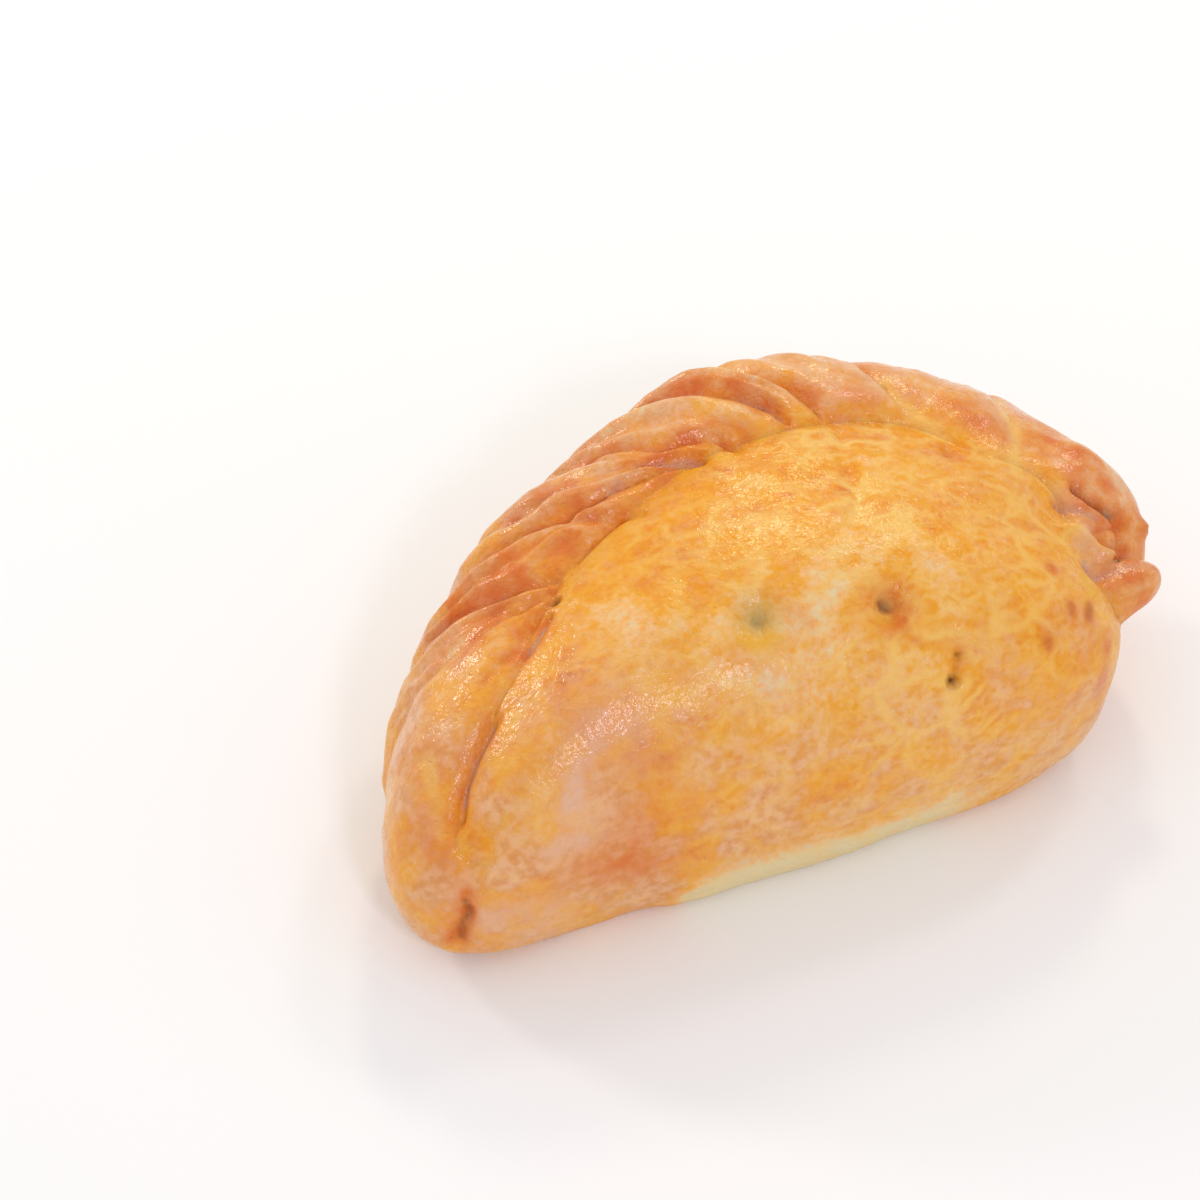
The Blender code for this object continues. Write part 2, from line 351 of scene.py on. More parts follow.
# %% Height of the rope
CRIMP_THICKNESS = (6.5 * MM, 7.5 * MM, 6.8 * MM, 5.0 * MM)
CRIMP_THINNED = (
    # Longitude, spread, and how much thinner the rope is there; a negative amount is thicker
    (24.0, 7.5, 3.2 * MM),
    (36.0, 6.0, -1.0 * MM),
    (115.0, 16.0, 2.2 * MM),
    (178.0, 8.0, 1.1 * MM),
    (9.0, 4.0, -1.6 * MM),
)
CRIMP_ROUNDNESS = 0.6
CRIMP_LEAN = 15.0
CRIMP_ENDS = (5.0, 203.0)
CRIMP_END_LENGTHS = (4.5, 16.0)
FOLD_ROUNDNESS = 0.55
FULL_FOLD = 14.0
NARROW_FOLD_HEIGHT = 0.6
STRAND_DEPTH = 0.75 * MM
GROOVE_CUT = (0.66, 0.30)
CUT_FADE = 0.6


def crimp_lift(longitude, across, share, width, depth, wave):
    """Height of the rope over the body: a rounded roll, cut by grooves and closed at its ends."""
    inside = np.clip(across, 0.0, 1.0)
    roll = hump(inside) ** CRIMP_ROUNDNESS
    first, last = CRIMP_ENDS
    ends = round_end((longitude - first) / CRIMP_END_LENGTHS[0])
    ends = ends * ease(0.0, CRIMP_END_LENGTHS[1], last - longitude)
    fold = hump(share) ** FOLD_ROUNDNESS
    fold = fold * (NARROW_FOLD_HEIGHT + (1.0 - NARROW_FOLD_HEIGHT) * ease(0.0, FULL_FOLD, width))
    cut = GROOVE_CUT[0] + (GROOVE_CUT[1] - GROOVE_CUT[0]) * ease(0.0, CUT_FADE, inside)
    thickness = around(longitude, *CRIMP_THICKNESS)
    for middle, spread, less in CRIMP_THINNED:
        thickness = thickness - less * swell(longitude, middle, spread)
    roped = thickness * ends * roll
    ridges = STRAND_DEPTH * wave * fold * ends * roll
    return roped * (1.0 - cut * depth * (1.0 - fold)) + ridges


print("rope, mm thick:", [round(thickness / MM, 1) for thickness in CRIMP_THICKNESS])

# %% [markdown]
# ## Chance, kept the same every time
#
# Dough bulges, blisters and stretches as it pleases.  Two kinds of chance cover it.  `wander` is
# a smooth random field: a lattice of seeded numbers, blended between its corners.  `blisters`
# drops a round bubble in some cells of a jittered lattice.  Blender's own noise textures would do
# for a bump, but here the points themselves move, so the relief is in the shape.  Each seed is
# fixed, so it is the same pastry each time it is made.

# %% Smooth chance and blisters
LATTICE = 32
CORNERS = np.array(np.meshgrid((0, 1), (0, 1), (0, 1))).reshape(3, -1).T
NEIGHBOURS = np.array(np.meshgrid((-1, 0, 1), (-1, 0, 1), (-1, 0, 1))).reshape(3, -1).T
SMALLEST_BLISTER = 0.5


def wander(points, size, seed):
    """Random heights from -1 to 1 on a lattice `size` apart, blended with eased shares."""
    table = np.random.default_rng(seed).uniform(-1.0, 1.0, (LATTICE,) * 3)
    scaled = points / size
    cell = np.floor(scaled).astype(int)
    share = ease(0.0, 1.0, scaled - cell)
    total = np.zeros(points.shape[:-1])
    for corner in CORNERS:
        weight = np.prod(np.where(corner == 1, share, 1.0 - share), axis=-1)
        total = total + weight * table[tuple(np.moveaxis((cell + corner) % LATTICE, -1, 0))]
    return total


def blisters(points, size, seed, radius, kept):
    """Domes 1 - (distance/radius)^2 round a random point of some lattice cells."""
    table = np.random.default_rng(seed).uniform(0.0, 1.0, (LATTICE,) * 3 + (4,))
    scaled = points / size
    cell = np.floor(scaled).astype(int)
    height = np.zeros(points.shape[:-1])
    for neighbour in NEIGHBOURS:
        other = cell + neighbour
        drawn = table[tuple(np.moveaxis(other % LATTICE, -1, 0))]
        distance = np.linalg.norm(other + drawn[..., :3] - scaled, axis=-1) * size
        own_radius = radius * (SMALLEST_BLISTER + drawn[..., 3] / kept)
        dome = np.maximum(1.0 - (distance / own_radius) ** 2, 0.0)
        height = np.maximum(height, np.where(drawn[..., 3] < kept, dome, 0.0))
    return height


line = np.linspace(0.0, 1.0, 4)[:, None] * np.ones(3)
print("chance along a line:", wander(line, 0.3, 1).round(2))

# %% [markdown]
# ## Marks pressed into the dough
#
# Two steam vents were poked with a finger, a fork left two small holes, and the rope has a crease
# at each end.  They could be cut with other meshes, but dough has no cut edges.  So each mark is a
# short path between places on the pastry, and the distance from that path shapes it: a dent falls
# away as a bell, and a ridge is a dent turned outwards.  Places that are both dented and coloured
# have a name: the vents, the fork's holes, the pit in the crease on the left, the lines by
# the knob and the raw edge at the left end.

# %% Paths on the pastry
VENT_LEFT = (242.0, 24.0)
VENT_RIGHT = (-43.6, 32.8)
FORK_HIGH = (-33.3, 54.2)
FORK_LOW = (-37.0, 61.1)
PIT = (160.3, 39.7)
KNOB_CREASE = ((12.1, 60.3), (10.1, 63.7), (9.4, 68.6), (9.4, 74.7), (6.5, 79.0))
KNOB_CLEFT = ((9.9, 55.7), (8.1, 61.3), (7.7, 66.7))
RAW_EDGE = ((177.2, 73.4), (180.4, 66.8), (186.5, 70.0), (189.2, 72.7))


def distance_to_path(points, places):
    """Smallest distance to the straight pieces between the named places on the body."""
    corners = body(*np.array(places, dtype=float).T)
    if len(corners) == 1:
        return np.linalg.norm(points - corners[0], axis=-1)
    nearest = np.full(points.shape[:-1], np.inf)
    for first, last in zip(corners[:-1], corners[1:]):
        span = last - first
        share = np.clip((points - first) @ span / max(float(span @ span), TINY), 0.0, 1.0)
        gap = np.linalg.norm(points - first - share[..., None] * span, axis=-1)
        nearest = np.minimum(nearest, gap)
    return nearest


def stamp(points, marks):
    """Sum of height times a bell of the distance to each path; its half-width is in mm."""
    total = np.zeros(points.shape[:-1])
    for places, half_width, height in marks:
        total = total + height * swell(distance_to_path(points, places), 0.0, half_width * MM)
    return total


print("between the vents, mm:", (distance_to_path(body(*VENT_LEFT), [VENT_RIGHT]) / MM).round(1))

# %% Vents, fork holes, creases and clefts
MARKS = (
    # Places (longitude, tilt), half-width and height in mm; a negative height is a dent
    (((194.8, 76.0), (195.3, 90.0), (195.0, 98.0), (194.0, 116.0)), 0.8, -0.5),
    (((195.3, 90.0), (195.0, 98.0), (194.6, 106.0)), 1.0, -0.6),
    (((194.6, 92.0), (194.5, 108.0)), 3.5, -0.7),
    (KNOB_CREASE, 0.9, -1.6),
    (((12.0, 61.0), (9.4, 70.0), (8.0, 77.0)), 2.4, -0.7),
    (((19.0, 64.0), (15.0, 74.0), (11.0, 84.0)), 2.2, 0.8),
    (((5.0, 59.0), (4.2, 66.0), (2.0, 72.0), (-0.5, 78.0)), 1.4, 2.2),
    (((10.5, 83.0),), 1.2, 1.5),
    (((1.5, 74.0),), 1.1, -1.3),
    (((-1.5, 66.0), (-1.5, 73.0)), 1.3, -1.5),
    (((2.5, 71.0), (2.2, 78.0)), 1.6, 2.0),
    (((-4.5, 84.0),), 1.6, 0.8),
    (((-1.0, 79.0),), 1.3, 0.6),
    ((VENT_LEFT,), 1.2, -0.9),
    ((VENT_LEFT,), 3.9, -2.2),
    ((VENT_LEFT,), 7.0, 0.5),
    ((VENT_RIGHT,), 1.1, -1.2),
    ((VENT_RIGHT,), 3.2, -1.9),
    ((VENT_RIGHT,), 6.0, 0.5),
    ((FORK_HIGH,), 0.9, -0.8),
    ((FORK_LOW,), 1.0, -1.0),
    ((FORK_HIGH, FORK_LOW), 0.7, -0.35),
    (((57.9, 39.4), (52.1, 32.0), (41.6, 23.9), (25.5, 17.1), (2.5, 13.3)), 1.2, -0.5),
    (((56.6, 33.1), (47.1, 25.3), (36.4, 18.6)), 0.9, -0.3),
    ((PIT,), 0.8, -1.5),
    (((191.5, 73.5),), 2.2, 0.7),
)
CLEFTS = (
    # Places, half-width and depth in mm of the lines where one strand tucks under another
    (((74.0, 42.5), (77.3, 45.9), (82.5, 50.8), (91.7, 58.5), (100.7, 69.0)), 0.8, 1.3),
    (((64.3, 44.5), (68.8, 50.1), (77.3, 58.0), (80.6, 62.4)), 0.9, 0.8),
    (((88.4, 35.5), (95.6, 41.8), (102.0, 43.7), (108.2, 44.2)), 0.8, 0.9),
    (((100.7, 35.9), (109.5, 39.5), (116.2, 44.0)), 0.8, 1.0),
    (((128.0, 44.5), (136.3, 48.1), (140.3, 54.4), (143.1, 63.6), (148.6, 73.3)), 0.8, 1.5),
    (((128.2, 32.4), (134.6, 38.8), (137.5, 47.3)), 0.8, 0.8),
    (((147.5, 39.2), (138.0, 37.0), (132.3, 36.0)), 0.8, 0.9),
    (((153.4, 41.9), (155.0, 50.1), (154.5, 62.3), (156.0, 74.0)), 0.9, 1.3),
    (((156.1, 42.0), (160.8, 46.9), (159.8, 52.4), (163.5, 64.8)), 0.8, 0.9),
    (((159.8, 41.3), (168.2, 44.7), (171.9, 46.5), (175.0, 52.1)), 0.7, 0.7),
    (((165.0, 40.0), (169.2, 41.7), (173.0, 44.0)), 0.8, 1.0),
    (((182.6, 52.5), (184.8, 57.7), (187.0, 63.2), (190.0, 68.0)), 0.9, 1.2),
    (RAW_EDGE, 0.9, 0.5),
    (((111.9, 54.5), (116.9, 61.3), (122.0, 68.0)), 0.8, 0.8),
    (((128.2, 55.0), (131.7, 61.6), (135.0, 68.0)), 0.8, 0.8),
    (((31.6, 42.2), (27.5, 38.6)), 0.6, 0.7),
    (KNOB_CLEFT, 0.7, 0.7),
)
print(len(MARKS), "marks and", len(CLEFTS), "clefts pressed into the dough")

# %% [markdown]
# ## The knob at the end of the rope
#
# The last pinch of dough was rolled up into a knob.  It could be a ball joined to the crust, but
# then its seam would show, so the skin itself is pushed out.  Points near an axis are lifted onto
# a dome over that axis, and the lift fades in at its rim.

# %% Knob
KNOB_PLACE = (-1.2, 79.8)
KNOB_RADIUS = 4.9 * MM
KNOB_REACH = 9.4 * MM
KNOB_DEPTH = 9.0 * MM
KNOB_WAY = (1.0, -0.05, 0.24)
KNOB_RIM = 0.3


def knob(points):
    """How much of each point belongs to the knob, and the push that makes it a dome.

    The height of the dome over the knob's own plane is its reach times the root of
    1 - (distance from its axis / radius)^2.
    """
    axis = unit(np.array(KNOB_WAY))
    offset = points - body(*np.array(KNOB_PLACE))
    along = offset @ axis
    aside = np.linalg.norm(offset - along[..., None] * axis, axis=-1)
    near = np.clip(1.0 - (aside / KNOB_RADIUS) ** 2, 0.0, 1.0) * (np.abs(along) < KNOB_DEPTH)
    share = ease(0.0, KNOB_RIM, near)
    return share, (share * (KNOB_REACH * np.sqrt(near) - along))[..., None] * axis


print("knob reaches", KNOB_REACH / MM, "mm out of the side")

# %% [markdown]
# ## The skin on a grid
#
# The rows of the grid run from the top of the mound to the middle of the underside, and its
# columns go round.  Rows are spent where there is something to see: most of them lie on the
# rope.  All the shapes above are added up as arrays, with one value for each grid point.

# %% Grid of longitudes and tilts
COLUMNS = 640
MOUND_ROWS = 50
CRIMP_ROWS = 84
UNDER_ROWS = 16
BASE_ROWS = 3
ROWS = MOUND_ROWS + CRIMP_ROWS + UNDER_ROWS + BASE_ROWS
CROWDING = 1.2
FRONT_SPARING = 0.45
FINE_RANGE = (-25.0, 0.0, 198.0, 220.0)
FINE_STEPS = 1441


def even_longitudes(share):
    """Longitudes that cut the outline into even stretches, longer ones where there is no rope."""
    fine = np.linspace(*ROUND, FINE_STEPS)
    x, y = outline(fine)
    weight = 1.0 - FRONT_SPARING * (1.0 - within(FINE_RANGE, fine)[1:])
    travelled = np.concatenate([[0.0], np.cumsum(weight * np.hypot(np.diff(x), np.diff(y)))])
    return np.interp(share * travelled[-1], travelled, fine)


def row_tilts(row, longitude):
    """Tilt of each row: even on the mound, crowded towards the crease on the rope."""
    crease, hem = crimp_limits(longitude)
    under_start = MOUND_ROWS + CRIMP_ROWS
    base_start = under_start + UNDER_ROWS
    across = np.clip((row - MOUND_ROWS) / CRIMP_ROWS, 0.0, 1.0) ** CROWDING
    mound = crease * row / MOUND_ROWS
    crimp = crease + (hem - crease) * across
    under = hem + (AT_TABLE - hem) * (row - under_start) / UNDER_ROWS
    base = AT_TABLE + (AT_UNDERSIDE - AT_TABLE) * (row - base_start) / BASE_ROWS
    tilt = np.where(row <= MOUND_ROWS, mound, crimp)
    tilt = np.where(row > under_start, under, tilt)
    return np.where(row > base_start, base, tilt)


turn = np.arange(COLUMNS) / COLUMNS
rows, longitudes = np.meshgrid(np.arange(ROWS + 1.0), even_longitudes(turn), indexing="ij")
tilts = row_tilts(rows, longitudes)
plain = body(longitudes, tilts)
print("grid of", plain.shape[0], "rows and", plain.shape[1], "columns")

# %% Add the rope, the marks and the dough's own unevenness
LUMPS_ON_MOUND = ((13.0 * MM, 0.50 * MM), (5.0 * MM, 0.16 * MM), (2.0 * MM, 0.05 * MM))
LUMPS_ON_ROPE = ((7.0 * MM, 0.45 * MM), (3.0 * MM, 0.20 * MM), (1.6 * MM, 0.07 * MM))
BLISTER_HEIGHT = 0.16 * MM
BLISTERS = {"size": 3.2 * MM, "seed": 31, "radius": 1.3 * MM, "kept": 0.45}
GROOVE_WOBBLE = {"size": 9.0 * MM, "seed": 3}
RIDGE_WOBBLE = {"size": 7.0 * MM, "seed": 4}
SEED_ON_MOUND = 11
SEED_ON_ROPE = 21
TABLE_FADE = (150.0, 176.0)
ROPE_RANGE = (0.0, 10.0, 188.0, 206.0)
ROPE_ACROSS = (-0.02, 0.1, 0.9, 1.05)
HOLLOW_POWER = 1.5
HOLLOW_BETWEEN_STRANDS = 0.45


def unevenness(points, lumps, first_seed):
    """Sum of wandering fields, each with its own size and height."""
    total = np.zeros(points.shape[:-1])
    for index, (size, height) in enumerate(lumps):
        total = total + height * wander(points, size, first_seed + index)
    return total


def surface_normals(points):
    """Outward normals of a closed grid: cross product of the way down and the way round."""
    down = np.gradient(points, axis=0)
    sideways = np.roll(points, -1, axis=1) - np.roll(points, 1, axis=1)
    return unit(np.cross(down, sideways))


def shape_crust():
    """Body, plus rope, knob and marks, plus lumps and blisters along the final normals."""
    outward, upward = outward_and_upward(longitudes, tilts)
    across = across_crimp(longitudes, tilts)
    share, width, depth = fold_place(longitudes, across, wander(plain, **GROOVE_WOBBLE))
    off_the_table = 1.0 - ease(*TABLE_FADE, tilts)
    lean = np.radians(CRIMP_LEAN)
    crimp_way = outward * np.cos(lean) + upward * np.sin(lean)
    wave = strand_wave(longitudes, share, wander(plain, **RIDGE_WOBBLE))
    lift = crimp_lift(longitudes, across, share, width, depth, wave) * off_the_table
    pressed = (stamp(plain, MARKS) - stamp(plain, CLEFTS)) * MM * off_the_table
    on_knob, knob_push = knob(plain)
    lift, pressed = lift * (1.0 - on_knob), pressed * (1.0 - on_knob)
    points = plain + lift[..., None] * crimp_way + pressed[..., None] * outward + knob_push

    on_rope = within(ROPE_ACROSS, across) * within(ROPE_RANGE, longitudes)
    on_rope = np.maximum(on_rope, on_knob)
    uneven = unevenness(plain, LUMPS_ON_MOUND, SEED_ON_MOUND) * (1.0 - on_rope)
    uneven = uneven + unevenness(plain, LUMPS_ON_ROPE, SEED_ON_ROPE) * on_rope
    uneven = (uneven + BLISTER_HEIGHT * blisters(plain, **BLISTERS)) * off_the_table
    groove = (1.0 - np.sqrt(hump(share))) ** HOLLOW_POWER * ease(0.0, 1.0, depth)
    between = HOLLOW_BETWEEN_STRANDS * np.clip(-wave, 0.0, 1.0) ** HOLLOW_POWER
    hollow = np.clip(groove + between, 0.0, 1.0) * on_rope
    return points + uneven[..., None] * surface_normals(points), hollow, on_rope


crust_points, crust_hollow, crust_on_rope = shape_crust()
size = (crust_points.reshape(-1, 3).max(axis=0) - crust_points.reshape(-1, 3).min(axis=0)) / MM
print("crust, mm:", size.round(1))

# %% [markdown]
# ## How the oven coloured it
#
# Colour follows the bake.  The mound went gold, its low sides are a darker rosy tan, and the strip
# that was shaded under the belly stayed pale.  Egg wash that ran into the grooves went rust red,
# and the rust is laid on deeper in the grooves and beside the clefts as painted shade; the crests
# of the folds are paler, partly as a painted highlight.  These large areas are worked out on the
# grid and stored with the mesh as named layers, and the shader adds the fine mottling between
# them.
#
# A scorch, a drip or a pale patch that has a place of its own is a stroke of a soft brush, and so
# is painted shade in a crease, a cleft or a hole.  Each stroke is a path between places
# (longitude, tilt), a half-width in mm and a strength.

# %% Strokes: rust red and blush with painted shade, scorches with painted shadow, shade in gaps
# Red-brown spots, and painted shade in the creases by the knob and at the left end
RUST_AND_SHADE_STROKES = (
    (((153.0, 60.9), (150.0, 68.0), (149.0, 76.0)), 2.6, 0.8),
    (((195.3, 84.0), (195.3, 92.0), (194.6, 100.0), (194.0, 112.0)), 1.1, 1.3),
    (KNOB_CREASE, 1.5, 0.9),
    (((191.0, 76.4), (186.0, 80.0)), 3.0, 0.45),
    (((-8.0, 50.8),), 1.2, 1.0),
    (((-14.4, 59.3), (-13.5, 58.2)), 1.1, 1.1),
    (((-12.8, 64.3), (-11.4, 63.6)), 1.3, 1.3),
    (((-20.9, 61.2),), 1.5, 1.1),
    (((-13.2, 73.9), (-14.5, 77.9), (-16.2, 86.0)), 1.8, 1.0),
    (((-16.2, 90.0), (-16.2, 102.0)), 2.0, 0.6),
    (((-3.5, 84.0), (-5.0, 80.0)), 1.5, 0.5),
    (((2.8, 74.0), (4.0, 87.0)), 1.5, 1.0),
    (((190.0, 40.0),), 1.8, 0.5),
)
# Blush, and painted shade in the valleys between the folds of the rope
BLUSH_AND_SHADE_STROKES = (
    (((133.0, 49.8), (127.6, 45.4), (120.3, 38.6), (113.3, 36.4)), 2.6, 0.75),
    (((147.2, 58.6), (144.7, 48.0), (138.7, 39.8)), 1.4, 0.70),
    (((151.0, 49.8), (148.9, 44.0), (145.1, 40.6)), 2.2, 0.50),
    (((153.0, 64.7), (151.4, 59.9), (150.6, 53.6)), 2.6, 0.90),
    (((153.0, 55.3), (152.6, 49.4), (151.8, 42.4)), 1.2, 0.80),
    (((167.2, 57.8), (161.6, 50.9), (158.4, 47.4)), 1.6, 0.70),
    (((168.0, 43.7), (163.2, 41.1)), 1.5, 0.60),
    (((95.4, 67.0), (89.4, 60.1), (82.9, 53.3)), 2.2, 0.60),
    (((103.2, 45.0), (93.4, 41.4), (85.4, 38.0)), 2.2, 0.70),
    (((117.0, 45.5), (109.9, 41.1), (102.2, 37.2)), 1.8, 0.70),
    (((114.7, 78.4), (109.5, 64.8)), 2.0, 0.40),
    (((129.0, 62.8), (125.3, 58.1)), 2.0, 0.50),
    (((62.0, 52.0), (54.0, 50.0)), 2.2, 0.35),
    (((-1.0, 77.0), (-2.5, 84.0)), 5.0, 1.0),
    (((41.5, 56.0), (33.3, 52.0), (24.0, 50.0)), 2.6, 0.40),
    (((21.0, 60.0), (14.0, 66.0)), 3.0, 0.50),
    (((206.7, 83.0), (211.0, 86.0)), 4.5, 0.6),
    (((209.8, 62.0), (211.0, 72.0)), 6.0, 0.40),
    (((198.0, 44.0), (195.0, 50.0)), 4.5, 0.28),
    (((203.0, 84.0), (213.0, 88.0)), 5.0, 0.28),
    ((VENT_RIGHT,), 3.9, 0.8),
    (((-49.0, 37.5), (-43.5, 38.5), (-38.5, 36.0)), 1.5, 0.7),
    (((230.0, 33.0), (240.0, 37.0), (250.0, 33.5)), 1.6, 0.5),
    (((262.0, 24.0), (268.0, 26.0)), 2.6, 0.4),
    (((-33.3, 53.0), (-34.8, 57.5)), 1.3, 0.7),
)
# Scorches, and painted shadow in the pit, the fork holes, the vents and the creases
SCORCH_AND_SHADE_STROKES = (
    ((PIT,), 0.7, 1.0),
    ((FORK_HIGH,), 0.5, 0.35),
    (((-14.4, 59.3), (-13.5, 58.2)), 0.8, 0.22),
    (((-12.8, 64.3), (-11.4, 63.6)), 0.9, 0.32),
    (((-20.9, 61.2),), 0.9, 0.16),
    ((FORK_LOW,), 0.8, 0.8),
    (((3.2, 78.0), (4.0, 86.0)), 0.9, 0.6),
    (((12.1, 60.3), (10.1, 63.7), (9.4, 68.6), (9.4, 73.0)), 0.55, 0.6),
    ((VENT_LEFT,), 0.8, 0.22),
    (((-44.8, 31.0), (-43.4, 34.0)), 0.4, 0.45),
    (((195.0, 86.0), (195.3, 92.0), (194.6, 99.0), (194.4, 110.0)), 0.45, 0.5),
    ((FORK_HIGH, FORK_LOW), 0.4, 0.18),
)
# Greyish lilac painted shade in the clefts, in the gaps under the rope and in the recess by the
# knob
GAP_SHADE_STROKES = (
    (((100.7, 35.9), (103.8, 37.4), (109.5, 39.5), (116.2, 44.0)), 0.4, 0.5),
    (((122.3, 43.3), (127.6, 43.7), (132.3, 46.3)), 0.35, 0.4),
    (((75.3, 44.1), (78.6, 47.2), (83.9, 52.4), (89.8, 56.6)), 0.4, 0.4),
    (((167.1, 40.7), (169.2, 41.7), (171.9, 43.5)), 0.4, 0.7),
    (((182.6, 52.5), (184.8, 57.7), (187.0, 63.2), (188.6, 65.8)), 0.22, 0.7),
    (KNOB_CLEFT, 0.5, 0.3),
    (((0.2, 66.0), (-1.2, 70.0)), 0.9, 0.6),
    (((-1.0, 82.5),), 0.5, 0.6),
    (((8.7, 59.7), (10.8, 56.9)), 1.2, 0.15),
)
print(len(RUST_AND_SHADE_STROKES) + len(BLUSH_AND_SHADE_STROKES), "red strokes and", len(SCORCH_AND_SHADE_STROKES), "scorches")

# %% Strokes: bare and dry dough, egg wash, yolk, amber and the grey of the vents
BARE_STROKES = (
    (((54.0, 60.4), (50.2, 55.5), (46.5, 52.9), (43.4, 50.7), (38.1, 48.2)), 1.3, 0.7),
    (((33.7, 68.3), (29.6, 59.3), (27.0, 56.9), (20.7, 48.8), (17.2, 46.6)), 1.3, 0.7),
    (((4.8, 60.0), (4.2, 66.0), (2.5, 71.0)), 1.3, 0.6),
    (RAW_EDGE, 1.2, 0.5),
)
DRY_STROKES = (
    (((201.4, 57.8), (202.2, 65.6), (204.8, 72.9)), 2.0, 0.95),
    (((204.8, 72.9), (201.0, 74.0)), 1.8, 0.6),
    (((202.8, 44.9),), 9.0, 0.5),
    (((11.0, 57.0), (7.5, 62.0), (3.0, 64.0), (1.0, 70.0)), 2.0, 0.5),
    (((201.0, 50.0), (199.0, 60.0)), 4.0, 0.25),
    (((198.0, 92.0), (202.0, 104.0)), 5.0, 0.6),
)
WASH_STROKES = (
    (KNOB_CREASE[:3], 1.4, -0.5),
    ((VENT_LEFT,), 2.8, -0.8),
    ((VENT_RIGHT,), 2.2, -0.8),
    ((FORK_HIGH, FORK_LOW), 1.2, -0.8),
    (((195.0, 84.0), (194.4, 110.0)), 2.0, -0.6),
    (((202.8, 44.9), (200.9, 50.2)), 13.0, 0.3),
    (((-90.0, 5.0), (188.8, 20.0)), 12.0, 0.2),
)
YOLK_STROKES = (
    (((234.6, 29.0), (241.5, 31.5), (249.5, 30.0)), 1.5, 0.9),
    (((-50.0, 35.5), (-46.0, 36.5)), 1.0, 0.6),
    (((-5.8, 61.7), (-7.4, 63.5)), 1.7, 0.9),
)
AMBER_STROKES = (
    (((-50.0, 40.1), (-43.5, 39.0)), 2.4, 0.5),
    ((VENT_RIGHT,), 4.6, 2.4),
    (((241.5, 33.5),), 2.0, 0.35),
    (((262.0, 24.0), (275.0, 27.0)), 3.2, 0.3),
    (((44.8, 23.3), (40.1, 18.3), (29.0, 15.7)), 1.3, 0.7),
    (((170.1, 22.0),), 2.6, 0.7),
    (((159.2, 20.1), (148.5, 19.5)), 2.0, 0.25),
    (((183.3, 36.6), (186.7, 43.4)), 3.0, 0.8),
    (((112.0, 30.0), (104.0, 27.0)), 3.0, 0.4),
    (((205.5, 80.0), (212.0, 88.0)), 4.5, 0.6),
    (((187.0, 86.2), (185.0, 80.0)), 4.0, 0.6),
    (((217.0, 50.0), (225.0, 60.0)), 6.0, 0.4),
    (((165.0, 31.0), (190.0, 34.0)), 4.0, 0.35),
    (((115.0, 22.0), (150.0, 18.0)), 6.0, 0.35),
    (((123.9, 35.5), (132.0, 33.0)), 3.5, 0.5),
    (((-19.5, 55.4), (-19.5, 60.0)), 4.5, 0.5),
    (((188.0, 25.0), (200.0, 26.0), (214.0, 30.0), (232.0, 35.0)), 7.0, -1.15),
    (((240.0, 37.0), (265.0, 36.0)), 5.0, -0.5),
    (((-85.0, 38.0), (-70.0, 48.0), (-53.0, 60.0)), 7.0, -0.8),
    (((-85.0, 20.0), (-60.0, 18.0), (-40.0, 16.4)), 5.0, -1.1),
    (((-34.0, 20.0), (-27.0, 27.0), (-24.0, 34.0)), 4.5, -0.75),
    (((29.5, 28.0), (20.0, 27.0)), 4.5, -0.7),
)
GREY_STROKES = (((VENT_LEFT,), 3.2, 0.75), ((VENT_RIGHT,), 1.3, 0.6))
print(len(AMBER_STROKES), "strokes that brown the dough more or less")

# %% The unbaked strip and the line of yolk
STRIP_EDGE = (101.0, 0.20)
STRIP_TAPER = 40.0
STRIP_SIDES = (-68.0, -30.0, 48.0, 76.0)
STRIP_TIP = 0.5
STRIP_BLUR = 14.0
STRIP_WAVE = 4.0
STRIP_WAVES = {"size": 12.0 * MM, "seed": 43}
YOLK_LINE = (-0.035, 0.030)
YOLK_LINE_RANGE = (60.0, 100.0, 150.0, 172.0)
YOLK_LINE_STRENGTH = 0.4


def unbaked_strip(points):
    """The strip at the fold that stood in its own shadow: below a wavy edge, and only in front."""
    # Degrees from the front, and more to the right
    aside = (longitudes + 270.0) % 360.0 - 180.0
    left_tip, left_full, right_full, right_tip = STRIP_SIDES
    from_left = ease(left_tip, left_full, aside)
    to_right = 1.0 - ease(right_full, right_tip, aside)
    edge = STRIP_EDGE[0] + STRIP_EDGE[1] * aside + STRIP_TAPER * (1.0 - from_left)
    edge = edge + STRIP_WAVE * wander(points, **STRIP_WAVES)
    below = ease(-STRIP_BLUR, STRIP_BLUR, tilts - edge)
    return below * ease(0.0, STRIP_TIP, from_left) * to_right


def yolk_line():
    """Egg that gathered on the mound just above the crease: a bell across, eased off along it."""
    along = within(YOLK_LINE_RANGE, longitudes)
    return YOLK_LINE_STRENGTH * along * swell(across_crimp(longitudes, tilts), *YOLK_LINE)


crust_strip = unbaked_strip(crust_points)
print("share of the grid left unbaked:", crust_strip.mean().round(3))

# %% Sides, heights and folds as masks
PATCHY = {"size": 16.0 * MM, "seed": 41}
FINE = {"size": 6.0 * MM, "seed": 42}
LEFT_SIDE = (-35.0 * MM, 35.0 * MM)
FAR_RIGHT = (20.0 * MM, 34.0 * MM)
LOW_DOWN = (34.0, 92.0)
LEFT_ROPE = (150.0, 175.0)
# The painted highlight on the crests is fainter towards the left end of the rope
FAINTER_CREST_HIGHLIGHT = 0.5


